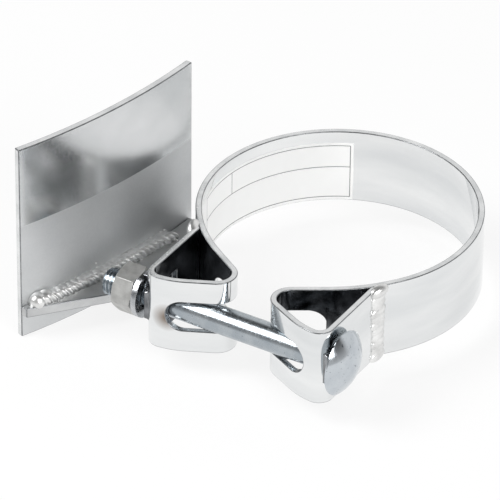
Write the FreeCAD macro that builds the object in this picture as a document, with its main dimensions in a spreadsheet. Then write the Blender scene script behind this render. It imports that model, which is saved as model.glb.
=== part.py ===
import FreeCAD, Part
import math
import os
import Sketcher

from FreeCAD import Placement, Rotation, Vector

# A band clamp with a welded support bracket, in millimetres.
# The frame stands on the pipe's axis: origin at the middle of the band's width, +Z along the
# pipe, the gap between the two loops at -Y, the bolt parallel to X with its nut at -X.

SIZES = (
    # The strip and its ring
    ("ring_bore", 117.2, "inside diameter of the open ring"),
    ("band_thickness", 2.65, "strip thickness"),
    ("band_width", 35.0, "strip width, along the pipe"),
    ("ease_radius", 77.0, "middle radius of the flatter stretch beside each loop"),
    ("ease_angle", 56.0, "angle from the gap where that stretch begins"),
    ("flare_angle", 32.0, "angle from the gap where the strip runs straight into its loop"),
    ("flex_radius", 4.0, "radius of the rounded seam that stands for the flexing back"),
    ("flex_clearance", 0.05, "running clearance of that seam"),
    # The loops
    ("half_gap", 9.4, "from the middle plane to each loop"),
    ("gap_corner_radius", 8.8, "outer radius of the corner beside the gap"),
    ("front_angle", 26.0, "slope of the front wall at the gap end"),
    ("front_end_angle", 5.0, "slope of the front wall at the seat end"),
    ("front_radius", 34.0, "outer radius of the front wall's bend"),
    ("seat_corner_radius", 6.5, "outer radius of the corner below the seat"),
    ("seat_distance", 44.3, "from the middle plane to the seat wall's outer face"),
    ("slot_height", 14.3, "height of the slot that the bolt passes"),
    ("slot_front_reach", 33.5, "slot end on the front wall, from the middle plane"),
    ("slot_ring_reach", 27.5, "slot end on the ring wall, from the middle plane"),
    ("pad_height", 13.5, "height of the pressed seat pad"),
    ("pad_rise", 1.8, "rise of the pressed seat pad"),
    ("pad_reach", 13.5, "pad end above the bolt's axis"),
    ("pad_wrap_angle", 38.0, "how far the pad follows the seat corner"),
    ("pad_slope", 1.3, "width of the pad's sloping end"),
    # The bolt, nut and washer
    ("hole_rise", 3.1, "bolt's axis above the foot of the flat seat wall"),
    ("bolt_diameter", 12.0, "bolt and thread diameter"),
    ("thread_pitch", 1.75, "thread pitch"),
    ("thread_depth", 1.0, "depth of the thread's grooves"),
    ("thread_length", 30.0, "threaded length"),
    ("bolt_length", 114.0, "length under the head"),
    ("head_diameter", 28.0, "domed head diameter"),
    ("head_height", 6.9, "domed head height"),
    ("head_rim", 1.0, "straight rim under the dome"),
    ("neck_side", 12.0, "side of the square neck"),
    ("neck_length", 6.0, "length of the square neck"),
    ("neck_clearance", 0.35, "gap between the neck and its hole, each side"),
    ("hole_corner_radius", 1.0, "corner radius of the square holes"),
    ("head_play", 0.4, "gap under the head, for its tilt"),
    ("washer_play", 0.3, "gap under the lock washer, for its tilt"),
    ("washer_diameter", 21.1, "lock washer outer diameter"),
    ("washer_bore", 12.6, "lock washer bore"),
    ("washer_thickness", 2.5, "lock washer thickness"),
    ("washer_lift", 1.3, "how far the split ends stand apart"),
    ("washer_split", 2.2, "width of the split"),
    ("nut_width", 19.0, "across the nut's flats"),
    ("nut_height", 10.0, "nut height"),
    ("nut_clearance", 0.06, "running clearance between thread crests and nut"),
    ("nut_chamfer_angle", 30.0, "chamfer on the nut's corners"),
    # The bracket
    ("saddle_thickness", 3.0, "saddle plate thickness"),
    ("saddle_radius", 298.0, "radius of the saddle's face towards the ring"),
    ("saddle_chord", 100.0, "width of the saddle across its bend"),
    ("saddle_height", 93.5, "height of the saddle"),
    ("saddle_drop", 11.0, "saddle's lower edge below the band's lower edge"),
    ("saddle_far_x", 74.0, "saddle's far edge, from the middle plane, in the ring's cross plane"),
    ("saddle_turn", 13.9, "turn of the saddle's chord from the Y axis"),
    ("gusset_thickness", 4.5, "gusset plate thickness"),
    ("gusset_far_inset", 2.0, "gusset's far corner, from the saddle's far edge"),
    ("gusset_nose_x", 95.0, "gusset's free corner, from the middle plane"),
    ("gusset_nose_y", 97.7, "gusset's free corner, from the ring's cross plane"),
    ("gusset_front_x", 46.6, "where the gusset's front edge meets the ring"),
    ("gusset_far_y", 2.3, "where the gusset's far edge meets the ring"),
    # The welds
    ("saddle_weld_reach", 6.0, "leg of the saddle bead along the gusset"),
    ("saddle_weld_rise", 2.2, "leg of the saddle bead up the saddle"),
    ("weld_bulge", 0.9, "how far a bead swells past flat"),
    ("saddle_weld_start", 2.5, "bead's start, from the saddle's near edge"),
    ("saddle_weld_end", 11.0, "bead's crater, from the saddle's far edge"),
    ("start_blob_growth", 1.6, "how much longer both legs are at the bead's heavy start"),
    ("start_blob_length", 7.0, "length of that heavy start"),
    ("loop_weld_seat_leg", 6.5, "leg of a loop's bead on its seat wall"),
    ("loop_weld_ring_leg", 1.8, "how far past the seat wall a loop's bead covers the ring"),
    ("weld_end_inset", 0.5, "bead end short of the band's edge"),
    ("seam_weld_width", 5.0, "width of the bead under the ring seam"),
    ("seam_weld_height", 1.4, "height of the bead under the ring seam"),
    ("seam_weld_inset", 3.0, "seam bead's ends short of the gusset's edges, in degrees"),
    # The paper label
    ("label_thickness", 0.08, "paper label thickness"),
    ("label_height", 29.0, "paper label height"),
    ("label_rise", 0.3, "label's lower edge above the band's lower edge"),
    ("label_start", 114.8, "label's first end, degrees from +X"),
    ("label_end", 220.0, "label's last end, degrees from +X"),
)

doc = FreeCAD.newDocument("band_clamp")
sheet = doc.addObject("Spreadsheet::Sheet", "Sizes")
for row, (name, value, meaning) in enumerate(SIZES, start=1):
    sheet.set("A%d" % row, str(value))
    sheet.set("B%d" % row, meaning)
    sheet.setAlias("A%d" % row, name)
doc.recompute()


def size(name):
    """A driving dimension, read from the sheet."""
    return float(sheet.get(name))


# Small helpers for bodies and sketches

def new_body(label):
    body = doc.addObject("PartDesign::Body", label)
    body.Label = label
    return body


def origin_item(body, role):
    return next(item for item in body.Origin.OriginFeatures if item.Role == role)


def new_sketch(body, name, role, height=None):
    """A sketch on one of the body's own planes, lifted by an expression where one is given."""
    sketch = body.newObject("Sketcher::SketchObject", name)
    sketch.AttachmentSupport = [(origin_item(body, role), "")]
    sketch.MapMode = "FlatFace"
    if height:
        sketch.setExpression("AttachmentOffset.Base.z", height)
    return sketch


def polar(centre, radius, degrees):
    turn = math.radians(degrees)
    return Vector(centre.x + radius * math.cos(turn), centre.y + radius * math.sin(turn), 0)


def line(start, end):
    return Part.LineSegment(start, end)


def arc(centre, radius, first, last):
    """An arc about a centre, between two directions in degrees."""
    middle = (first + last) / 2
    return Part.Arc(polar(centre, radius, first), polar(centre, radius, middle),
                    polar(centre, radius, last))


def direction(centre, point):
    """Direction of a point from a centre, in degrees."""
    return math.degrees(math.atan2(point.y - centre.y, point.x - centre.x))


def mirrored(edges, side):
    """The same edges at the side asked for: 1 keeps them, -1 mirrors them in X."""
    if side > 0:
        return edges
    flip = FreeCAD.Matrix()
    flip.scale(Vector(-1, 1, 1))
    turned = []
    for edge in edges:
        first = flip.multiply(edge.StartPoint)
        last = flip.multiply(edge.EndPoint)
        if isinstance(edge, Part.LineSegment):
            turned.append(Part.LineSegment(first, last))
        else:
            middle = edge.value((edge.FirstParameter + edge.LastParameter) / 2)
            turned.append(Part.Arc(first, flip.multiply(middle), last))
    return turned


def draw(sketch, edges):
    """Draws closed loops of edges and joins each edge to the one that starts at its end."""
    first = sketch.GeometryCount
    sketch.addGeometry(edges, False)
    ends = []
    for index in range(first, sketch.GeometryCount):
        for vertex in (1, 2):
            ends.append((index, vertex, sketch.getPoint(index, vertex)))
    for number, (index, vertex, point) in enumerate(ends):
        for other, other_vertex, other_point in ends[number + 1:]:
            if other != index and point.distanceToPoint(other_point) < 1e-6:
                sketch.addConstraint(Sketcher.Constraint("Coincident", index, vertex, other, other_vertex))


def draw_circle(sketch, diameter, centre=None):
    """A circle about the sketch's origin, or another point, with its diameter bound to the sheet."""
    spot = centre or Vector(0, 0, 0)
    index = sketch.addGeometry(Part.Circle(spot, Vector(0, 0, 1), 1), False)
    if centre is None:
        sketch.addConstraint(Sketcher.Constraint("Coincident", index, 3, -1, 1))
    number = sketch.addConstraint(Sketcher.Constraint("Diameter", index, 2.0))
    sketch.setExpression("Constraints[%d]" % number, diameter)


def pad(body, sketch, length, reverse=False):
    feature = body.newObject("PartDesign::Pad", sketch.Name + "_pad")
    feature.Profile = sketch
    feature.setExpression("Length", length)
    feature.Reversed = reverse
    return feature


def pocket(body, sketch, length, reverse=False):
    feature = body.newObject("PartDesign::Pocket", sketch.Name + "_cut")
    feature.Profile = sketch
    feature.setExpression("Length", length)
    feature.Reversed = reverse
    return feature


# The strip's route, worked out for the +X half and mirrored for the other

ORIGIN = Vector(0, 0, 0)
THICKNESS = size("band_thickness")
INNER = size("ring_bore") / 2
OUTER = INNER + THICKNESS
MIDDLE = INNER + THICKNESS / 2
EASE = size("ease_radius")
EASE_START = size("ease_angle") - 90
EASE_END = size("flare_angle") - 90
EASE_CENTRE = polar(ORIGIN, MIDDLE - EASE, EASE_START)
BAND_BOTTOM = -size("band_width") / 2


class Loop:
    """Centres and radii of the loop's outer face, found from the driving dimensions."""

    def __init__(self):
        flare = math.radians(size("flare_angle"))
        self.slope = size("front_angle")
        self.end_slope = size("front_end_angle")
        self.gap_radius = size("gap_corner_radius")
        self.front_radius = size("front_radius")
        self.seat_radius = size("seat_corner_radius")
        self.seat = size("seat_distance")
        inner_face = (EASE_CENTRE.x * math.sin(flare) - EASE_CENTRE.y * math.cos(flare)
                      + EASE - THICKNESS / 2)
        gap_x = size("half_gap") + self.gap_radius
        gap_y = (gap_x * math.sin(flare) - inner_face - self.gap_radius) / math.cos(flare)
        self.gap_centre = Vector(gap_x, gap_y, 0)
        wall_start = polar(self.gap_centre, self.gap_radius, -90 - self.slope)
        steep = math.sin(math.radians(self.slope))
        gentle = math.sin(math.radians(self.end_slope))
        bend_run = self.front_radius * (steep - gentle)
        corner_run = self.seat_radius * (1 + gentle)
        straight = (self.seat - corner_run - bend_run - wall_start.x) / math.cos(math.radians(self.slope))
        bend_start = polar(wall_start, straight, -self.slope)
        self.front_centre = polar(bend_start, self.front_radius, 90 - self.slope)
        bend_end = polar(self.front_centre, self.front_radius, -90 - self.end_slope)
        self.seat_centre = polar(bend_end, self.seat_radius, 90 - self.end_slope)

    def face(self, depth):
        """Edges of the loop's face at a depth in from its outside, from the flare to the seat."""
        flare = size("flare_angle")
        gap_start = polar(self.gap_centre, self.gap_radius - depth, 90 + flare)
        ease_end = polar(EASE_CENTRE, EASE - THICKNESS / 2 + depth, EASE_END)
        gap_end = polar(self.gap_centre, self.gap_radius - depth, 270 - self.slope)
        bend_start = polar(self.front_centre, self.front_radius - depth, -90 - self.slope)
        seat_line = self.seat - depth
        top = on_ease_outside(seat_line)
        return [
            line(ease_end, gap_start),
            arc(self.gap_centre, self.gap_radius - depth, 90 + flare, 270 - self.slope),
            line(gap_end, bend_start),
            arc(self.front_centre, self.front_radius - depth, -90 - self.slope, -90 - self.end_slope),
            arc(self.seat_centre, self.seat_radius - depth, -90 - self.end_slope, 0),
            line(Vector(seat_line, self.seat_centre.y, 0), top),
        ]


def on_ease_outside(across):
    """The point of the strip's outer face, beside the loop, at a distance from the middle plane."""
    radius = EASE + THICKNESS / 2
    return Vector(across, EASE_CENTRE.y - math.sqrt(radius ** 2 - (across - EASE_CENTRE.x) ** 2), 0)


def seam_point(radius, seam_radius, side):
    """Where a face of the ring meets the rounded seam at the back."""
    y = (radius ** 2 + MIDDLE ** 2 - seam_radius ** 2) / (2 * MIDDLE)
    return Vector(side * math.sqrt(radius ** 2 - y ** 2), y, 0)


LOOP = Loop()
BOLT_Y = LOOP.seat_centre.y + size("hole_rise")


def band_half(label, side):
    """One half of the bent strip: half the ring and the loop that its end is folded into."""
    body = new_body(label)
    # The left half carries the rounded nose of the seam, the right half its hollow
    nose = side < 0
    seam_radius = size("flex_radius") + (0 if nose else size("flex_clearance"))
    seam_side = -1 if nose else 1
    seam_inner = seam_point(INNER, seam_radius, seam_side)
    seam_middle = seam_point(MIDDLE, seam_radius, seam_side)
    seam_outer = seam_point(OUTER, seam_radius, seam_side)
    outside = LOOP.face(0)
    inside = LOOP.face(THICKNESS)
    seat_top = outside[-1].EndPoint
    apex = inside[-1].EndPoint
    outline = [
        Part.Arc(seam_inner, seam_middle, seam_outer),
        arc(ORIGIN, OUTER, direction(ORIGIN, seam_outer), EASE_START),
        arc(EASE_CENTRE, EASE + THICKNESS / 2, EASE_START, direction(EASE_CENTRE, seat_top)),
        arc(ORIGIN, INNER, direction(ORIGIN, seam_inner), EASE_START),
        arc(EASE_CENTRE, EASE - THICKNESS / 2, EASE_START, EASE_END),
    ] + outside
    opening = [arc(EASE_CENTRE, EASE + THICKNESS / 2, direction(EASE_CENTRE, apex), EASE_END)] + inside
    profile = new_sketch(body, label + "_profile", "XY_Plane", "-Sizes.band_width / 2")
    draw(profile, mirrored(outline, side))
    draw(profile, mirrored(opening, side))
    pad(body, profile, "Sizes.band_width")
    seat_pad(body, label, side)
    bolt_passages(body, label, side)
    return body


def seat_pad(body, label, side):
    """The pressed pad that the bolt's head or washer seats on, with the hollow behind it."""
    rise = size("pad_rise")
    slope = size("pad_slope")
    seat = size("seat_distance")
    top = size("pad_reach") + BOLT_Y
    wrap = -size("pad_wrap_angle")
    centre = LOOP.seat_centre
    radius = LOOP.seat_radius
    root = THICKNESS / 2
    wrap_slope = math.degrees(slope / radius)

    def skin(outer, inner, end, corner):
        return [
            line(Vector(inner, end, 0), Vector(outer, end - slope, 0)),
            line(Vector(outer, end - slope, 0), Vector(outer, centre.y, 0)),
            arc(centre, outer - centre.x, 0, corner),
            line(polar(centre, outer - centre.x, corner), polar(centre, inner - centre.x, corner - wrap_slope)),
            arc(centre, inner - centre.x, corner - wrap_slope, 0),
            line(Vector(inner, centre.y, 0), Vector(inner, end, 0)),
        ]

    raised = new_sketch(body, label + "_pad", "XY_Plane", "-Sizes.pad_height / 2")
    draw(raised, mirrored(skin(seat + rise, seat - root, top, wrap), side))
    pad(body, raised, "Sizes.pad_height")
    hollow = new_sketch(body, label + "_pad_hollow", "XY_Plane", "-Sizes.pad_height / 2 + Sizes.pad_rise")
    inner_face = seat - THICKNESS
    draw(hollow, mirrored(skin(inner_face + rise, inner_face, top - slope, wrap), side))
    pocket(body, hollow, "Sizes.pad_height - 2 * Sizes.pad_rise", reverse=True)


def bolt_passages(body, label, side):
    """The slot round the gap corner and the square hole in the seat wall."""
    half = size("slot_height") / 2
    level = "%.9f" % -LOOP.gap_centre.y
    for name, reach, towards_gap in (("_slot_ring", "slot_ring_reach", False),
                                     ("_slot_front", "slot_front_reach", True)):
        end = Vector(size(reach) - half, 0, 0)
        edges = [
            line(Vector(0, -half, 0), Vector(end.x, -half, 0)),
            arc(end, half, -90, 90),
            line(Vector(end.x, half, 0), Vector(0, half, 0)),
            line(Vector(0, half, 0), Vector(0, -half, 0)),
        ]
        sketch = new_sketch(body, label + name, "XZ_Plane", level)
        draw(sketch, mirrored(edges, side))
        pocket(body, sketch, "Sizes.gap_corner_radius * 2", reverse=towards_gap)
    side_half = size("neck_side") / 2 + size("neck_clearance")
    corner = size("hole_corner_radius")
    hole = new_sketch(body, label + "_hole", "YZ_Plane",
                      "%d * (Sizes.seat_distance + 2 * Sizes.pad_rise)" % side)
    draw(hole, rounded_square(Vector(BOLT_Y, 0, 0), side_half, corner))
    pocket(body, hole, "2 * Sizes.band_thickness + 2 * Sizes.pad_rise", reverse=side < 0)


def rounded_square(centre, half, corner):
    edges = []
    flat = half - corner
    for quarter in range(4):
        turn = 90 * quarter
        spin = Rotation(Vector(0, 0, 1), turn)
        middle = centre + spin.multVec(Vector(flat, flat, 0))
        edges.append(arc(middle, corner, turn, turn + 90))
        start = centre + spin.multVec(Vector(flat, half, 0))
        edges.append(line(start, centre + spin.multVec(Vector(-flat, half, 0))))
    return edges


def swollen(first, last, corner):
    """The middle of a bead's face, which swells away from the corner that the bead fills."""
    middle = (first + last) * 0.5
    chord = last - first
    out = Vector(chord.y, -chord.x, 0).normalize()
    if out.dot(middle - corner) < 0:
        out = -out
    return middle + out * size("weld_bulge")


def loop_weld(label, side, bottom, length):
    """The bead that closes a loop, in the corner between its seat wall and the ring."""
    body = new_body(label)
    seat = size("seat_distance")
    corner = on_ease_outside(seat)
    on_seat = Vector(seat, corner.y - size("loop_weld_seat_leg"), 0)
    on_ring = on_ease_outside(seat + size("loop_weld_ring_leg"))
    edges = [
        line(corner, on_seat),
        Part.Arc(on_seat, swollen(on_seat, on_ring, corner), on_ring),
        arc(EASE_CENTRE, EASE + THICKNESS / 2, direction(EASE_CENTRE, on_ring),
            direction(EASE_CENTRE, corner)),
    ]
    section = new_sketch(body, label + "_section", "XY_Plane", bottom)
    draw(section, mirrored(edges, side))
    pad(body, section, length)
    return body


# The support bracket

SADDLE_FAR = Vector(-size("saddle_far_x"), 0, 0)
SADDLE_RUN = Rotation(Vector(0, 0, 1), -size("saddle_turn")).multVec(Vector(0, -1, 0))
SADDLE_HALF_ANGLE = math.degrees(math.asin(size("saddle_chord") / 2 / size("saddle_radius")))


def saddle_centre():
    """The upright axis that the saddle's faces curve about."""
    middle = SADDLE_FAR + SADDLE_RUN * (size("saddle_chord") / 2)
    inwards = Vector(SADDLE_RUN.y, -SADDLE_RUN.x, 0)
    depth = size("saddle_radius") * math.cos(math.radians(SADDLE_HALF_ANGLE))
    return middle + inwards * depth


SADDLE_CENTRE = saddle_centre()
SADDLE_FIRST = direction(SADDLE_CENTRE, SADDLE_FAR)
SADDLE_LAST = SADDLE_FIRST - 2 * SADDLE_HALF_ANGLE
GUSSET_TOP = "-Sizes.band_width / 2 + Sizes.gusset_thickness"


def saddle_plate():
    """The curved plate that bears on whatever the clamp is fixed to."""
    body = new_body("saddle_plate")
    front = size("saddle_radius")
    back = front - size("saddle_thickness")
    edges = [
        arc(SADDLE_CENTRE, front, SADDLE_FIRST, SADDLE_LAST),
        line(polar(SADDLE_CENTRE, front, SADDLE_LAST), polar(SADDLE_CENTRE, back, SADDLE_LAST)),
        arc(SADDLE_CENTRE, back, SADDLE_LAST, SADDLE_FIRST),
        line(polar(SADDLE_CENTRE, back, SADDLE_FIRST), polar(SADDLE_CENTRE, front, SADDLE_FIRST)),
    ]
    section = new_sketch(body, "saddle_section", "XY_Plane", "-Sizes.band_width / 2 - Sizes.saddle_drop")
    draw(section, edges)
    pad(body, section, "Sizes.saddle_height")
    return body


def gusset_plate():
    """The flat plate that carries the saddle on the ring."""
    body = new_body("gusset_plate")
    nose = Vector(-size("gusset_nose_x"), -size("gusset_nose_y"), 0)
    near = polar(SADDLE_CENTRE, size("saddle_radius"), SADDLE_LAST)
    front = on_ease_outside(size("gusset_front_x"))
    ease_start = polar(EASE_CENTRE, EASE + THICKNESS / 2, EASE_START)
    far_corner = SADDLE_FIRST - math.degrees(size("gusset_far_inset") / size("saddle_radius"))
    far_y = -size("gusset_far_y")
    far = Vector(math.sqrt(OUTER ** 2 - far_y ** 2), far_y, 0)
    on_ring = [
        arc(EASE_CENTRE, EASE + THICKNESS / 2, direction(EASE_CENTRE, front), EASE_START),
        arc(ORIGIN, OUTER, direction(ORIGIN, ease_start), direction(ORIGIN, far)),
    ]
    edges = mirrored(on_ring, -1) + [
        line(Vector(-far.x, far.y, 0), polar(SADDLE_CENTRE, size("saddle_radius"), far_corner)),
        arc(SADDLE_CENTRE, size("saddle_radius"), far_corner, SADDLE_LAST),
        line(near, nose),
        line(nose, Vector(-front.x, front.y, 0)),
    ]
    outline = new_sketch(body, "gusset_outline", "XY_Plane", "-Sizes.band_width / 2")
    draw(outline, edges)
    pad(body, outline, "Sizes.gusset_thickness")
    return body


def turned_bead(body, name, growth, length):
    """A fillet bead on the gusset, turned about the saddle's own axis, its length in degrees."""
    section = new_sketch(body, name, "XZ_Plane")
    face = size("saddle_radius")
    floor = BAND_BOTTOM + size("gusset_thickness")
    corner = Vector(face, floor, 0)
    along = Vector(face + size("saddle_weld_reach") + growth, floor, 0)
    above = Vector(face, floor + size("saddle_weld_rise") + growth, 0)
    middle = swollen(along, above, corner)
    edges = [line(corner, along), Part.Arc(along, middle, above), line(above, corner)]
    draw(section, edges)
    turn = body.newObject("PartDesign::Revolution", name + "_turn")
    turn.Profile = section
    turn.ReferenceAxis = (origin_item(body, "Z_Axis"), [""])
    turn.Angle = length


def saddle_weld():
    """The bead between the gusset and the saddle, with its heavy start."""
    body = new_body("saddle_weld")
    face = size("saddle_radius")
    start = SADDLE_LAST + math.degrees(size("saddle_weld_start") / face)
    end = SADDLE_FIRST - math.degrees(size("saddle_weld_end") / face)
    turned_bead(body, "saddle_bead", 0, end - start)
    blob = math.degrees(size("start_blob_length") / face)
    turned_bead(body, "saddle_bead_start", size("start_blob_growth"), blob)
    body.Placement = Placement(SADDLE_CENTRE, Rotation(Vector(0, 0, 1), start))
    return body


def ring_seam_weld():
    """The flat bead under the seam between gusset and ring."""
    body = new_body("ring_seam_weld")
    ease_start = polar(EASE_CENTRE, EASE + THICKNESS / 2, EASE_START)
    inset = size("seam_weld_inset")
    first = direction(ORIGIN, ease_start) + inset
    last = -math.degrees(math.asin(size("gusset_far_y") / OUTER)) - inset
    half = size("seam_weld_width") / 2
    edges = [
        arc(ORIGIN, OUTER - half, first, last),
        line(polar(ORIGIN, OUTER - half, last), polar(ORIGIN, OUTER + half, last)),
        arc(ORIGIN, OUTER + half, last, first),
        line(polar(ORIGIN, OUTER + half, first), polar(ORIGIN, OUTER - half, first)),
    ]
    section = new_sketch(body, "seam_section", "XY_Plane", "-Sizes.band_width / 2")
    draw(section, mirrored(edges, -1))
    pad(body, section, "Sizes.seam_weld_height", reverse=True)
    return body


# The bolt, lock washer and nut, each along its own X axis

HEAD_SEAT = size("seat_distance") + size("pad_rise") + size("head_play")
WASHER_SEAT = size("seat_distance") + size("pad_rise") + size("washer_play")


def carriage_bolt():
    """The domed bolt, with its square neck and its thread's grooves."""
    body = new_body("carriage_bolt")
    radius = size("bolt_diameter") / 2
    end = -size("bolt_length")
    pitch = size("thread_pitch")
    root = radius - size("thread_depth")
    head = size("head_diameter") / 2
    height = size("head_height")
    rim = size("head_rim")
    seat_edge = Vector(0, head, 0)
    rim_edge = Vector(rim, head, 0)
    dome_radius = (head ** 2 + (height - rim) ** 2) / (2 * (height - rim))
    dome_centre = Vector(height - dome_radius, 0, 0)
    dome_end = Vector(height, 0, 0)
    crests = [Vector(end, 0, 0), Vector(end, root, 0)]
    count = int(size("thread_length") / pitch)
    for number in range(count):
        foot = end + pitch * number
        crests.append(Vector(foot + pitch * 0.44, radius, 0))
        crests.append(Vector(foot + pitch * 0.56, radius, 0))
        crests.append(Vector(foot + pitch, root, 0))
    crests.append(Vector(end + pitch * count + size("thread_depth"), radius, 0))
    crests.append(Vector(0, radius, 0))
    edges = [line(first, last) for first, last in zip(crests, crests[1:])]
    edges += [
        line(crests[-1], seat_edge),
        line(seat_edge, rim_edge),
        arc(dome_centre, dome_radius, direction(dome_centre, rim_edge), 0),
        line(dome_end, crests[0]),
    ]
    profile = new_sketch(body, "bolt_profile", "XY_Plane")
    draw(profile, edges)
    turn = body.newObject("PartDesign::Revolution", "bolt_turn")
    turn.Profile = profile
    turn.ReferenceAxis = (origin_item(body, "X_Axis"), [""])
    turn.Angle = 360
    neck = new_sketch(body, "neck_square", "YZ_Plane")
    draw(neck, rounded_square(Vector(0, 0, 0), size("neck_side") / 2, size("hole_corner_radius")))
    pad(body, neck, "Sizes.neck_length", reverse=True)
    body.Placement = Placement(Vector(HEAD_SEAT, BOLT_Y, 0), Rotation())
    return body


def lock_washer():
    """The split spring washer, its ends standing apart."""
    body = new_body("lock_washer")
    section = new_sketch(body, "washer_section", "XY_Plane")
    inner = size("washer_bore") / 2
    outer = size("washer_diameter") / 2
    thickness = size("washer_thickness")
    corners = [Vector(-thickness, inner, 0), Vector(0, inner, 0), Vector(0, outer, 0),
               Vector(-thickness, outer, 0)]
    draw(section, [line(first, last) for first, last in zip(corners, corners[1:] + corners[:1])])
    wound = 360 - math.degrees(size("washer_split") / outer)
    helix = body.newObject("PartDesign::AdditiveHelix", "washer_turn")
    helix.Profile = section
    helix.ReferenceAxis = (section, ["H_Axis"])
    helix.Mode = "pitch-height-angle"
    helix.Pitch = size("washer_lift") * 360 / wound
    helix.Height = size("washer_lift")
    helix.Reversed = True
    helix.LeftHanded = False
    body.Placement = Placement(Vector(-WASHER_SEAT, BOLT_Y, 0), Rotation(Vector(1, 0, 0), 100))
    return body


def hex_nut():
    """The plain hexagon nut, its corners turned to a chamfer on both faces."""
    body = new_body("hex_nut")
    height = size("nut_height")
    flat = size("nut_width") / 2
    tip = flat / math.cos(math.radians(30))
    outline = new_sketch(body, "nut_hexagon", "YZ_Plane")
    corners = [Vector(tip * math.cos(math.radians(60 * number)), tip * math.sin(math.radians(60 * number)), 0)
               for number in range(6)]
    draw(outline, [line(first, last) for first, last in zip(corners, corners[1:] + corners[:1])])
    pad(body, outline, "Sizes.nut_height", reverse=True)
    slope = math.tan(math.radians(size("nut_chamfer_angle")))
    drop = (tip - flat) * slope
    clear = tip + 1
    chamfers = new_sketch(body, "nut_chamfers", "XY_Plane")
    for face, inwards in ((0, -1), (-height, 1)):
        shoulder = Vector(face, flat, 0)
        low = Vector(face + inwards * drop * (clear - flat) / (tip - flat), clear, 0)
        out = Vector(face, clear, 0)
        draw(chamfers, [line(shoulder, low), line(low, out), line(out, shoulder)])
    turn = body.newObject("PartDesign::Groove", "nut_chamfer_turn")
    turn.Profile = chamfers
    turn.ReferenceAxis = (origin_item(body, "X_Axis"), [""])
    turn.Angle = 360
    bore = new_sketch(body, "nut_bore", "YZ_Plane")
    draw_circle(bore, "Sizes.bolt_diameter + 2 * Sizes.nut_clearance")
    pocket(body, bore, "Sizes.nut_height")
    seat = WASHER_SEAT + size("washer_thickness") + size("washer_lift")
    body.Placement = Placement(Vector(-seat, BOLT_Y, 0), Rotation(Vector(1, 0, 0), 8))
    return body


def size_label():
    """The blank paper label stuck inside the ring."""
    body = new_body("size_label")
    inner = INNER - size("label_thickness")
    first = size("label_start")
    last = size("label_end")
    edges = [
        arc(ORIGIN, INNER, first, last),
        line(polar(ORIGIN, INNER, last), polar(ORIGIN, inner, last)),
        arc(ORIGIN, inner, last, first),
        line(polar(ORIGIN, inner, first), polar(ORIGIN, INNER, first)),
    ]
    section = new_sketch(body, "label_section", "XY_Plane", "-Sizes.band_width / 2 + Sizes.label_rise")
    draw(section, edges)
    pad(body, section, "Sizes.label_height")
    return body


PARTS = [
    band_half("band_left", -1),
    band_half("band_right", 1),
    loop_weld("loop_weld_left", -1, GUSSET_TOP,
              "Sizes.band_width - Sizes.gusset_thickness - Sizes.weld_end_inset"),
    loop_weld("loop_weld_right", 1, "-Sizes.band_width / 2 + Sizes.weld_end_inset",
              "Sizes.band_width - 2 * Sizes.weld_end_inset"),
    saddle_plate(),
    gusset_plate(),
    saddle_weld(),
    ring_seam_weld(),
    carriage_bolt(),
    lock_washer(),
    hex_nut(),
    size_label(),
]

doc.recompute()
for item in doc.Objects:
    if "Invalid" in item.State or "Error" in item.State:
        raise RuntimeError("%s did not recompute: %s" % (item.Name, item.State))
os.makedirs("parts", exist_ok=True)
for part in PARTS:
    shape = part.Shape
    if shape.isNull() or not shape.isValid() or len(shape.Solids) != 1:
        raise RuntimeError("%s has no valid solid" % part.Label)
    shape.exportStep("parts/%s.step" % part.Label)
    box = shape.BoundBox
    print("%-16s %10.1f mm3  x %7.2f %7.2f  y %7.2f %7.2f  z %7.2f %7.2f" % (
        part.Label, shape.Volume, box.XMin, box.XMax, box.YMin, box.YMax, box.ZMin, box.ZMax))
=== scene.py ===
import logging
import math
import random
from dataclasses import dataclass
from enum import Enum, IntEnum
from typing import Any, Callable, Sequence

import bmesh
import bpy
from mathutils import Matrix, Vector


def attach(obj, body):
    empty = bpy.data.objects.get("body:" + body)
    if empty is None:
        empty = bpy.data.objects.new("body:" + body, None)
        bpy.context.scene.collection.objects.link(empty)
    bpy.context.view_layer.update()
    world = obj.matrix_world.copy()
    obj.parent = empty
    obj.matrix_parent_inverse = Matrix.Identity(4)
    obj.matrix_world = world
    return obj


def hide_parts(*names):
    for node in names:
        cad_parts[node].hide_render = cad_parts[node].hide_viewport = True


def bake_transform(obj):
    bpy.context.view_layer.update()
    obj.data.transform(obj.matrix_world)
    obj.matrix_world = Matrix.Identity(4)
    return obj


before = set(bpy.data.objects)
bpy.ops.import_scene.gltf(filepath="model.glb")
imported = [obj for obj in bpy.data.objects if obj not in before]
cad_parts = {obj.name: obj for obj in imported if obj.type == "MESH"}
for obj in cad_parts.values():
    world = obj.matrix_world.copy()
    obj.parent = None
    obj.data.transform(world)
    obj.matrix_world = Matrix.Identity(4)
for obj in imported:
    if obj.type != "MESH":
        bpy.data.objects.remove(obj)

log = logging.getLogger("band_clamp")

MM = 0.001
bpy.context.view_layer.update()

Piece = bpy.types.Object
Face = bpy.types.MeshPolygon
Tree = bpy.types.NodeTree
Socket = bpy.types.NodeSocket
Pair = tuple[float, float]
Triple = tuple[float, float, float]
Drop = tuple[float, float, float, float]

# From none to all of something
SHARE = (0.0, 1.0)
# The middle of a noise's range, where most of it lies
NOISE = (0.3, 0.7)
# The part of a noise's range over which a speck fades in
SPECK_EDGE = (0.70, 0.76)
# A face looks along a direction above this share of it in its normal, and across it below the other
ALONG = 0.8
ACROSS = 0.6
# How much more a large face sets the shading beside it than a small one
NORMAL_WEIGHT = 60


class Body(Enum):
    """The moving bodies that pieces ride on."""

    BRACKET_SIDE = "bracket_side"
    FREE_SIDE = "free_side"
    BOLT = "bolt"
    WASHER = "washer"
    NUT = "nut"


class Cut(Enum):
    """What a cutter does to the piece it meets."""

    AWAY = "DIFFERENCE"
    KEEP = "INTERSECT"


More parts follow.
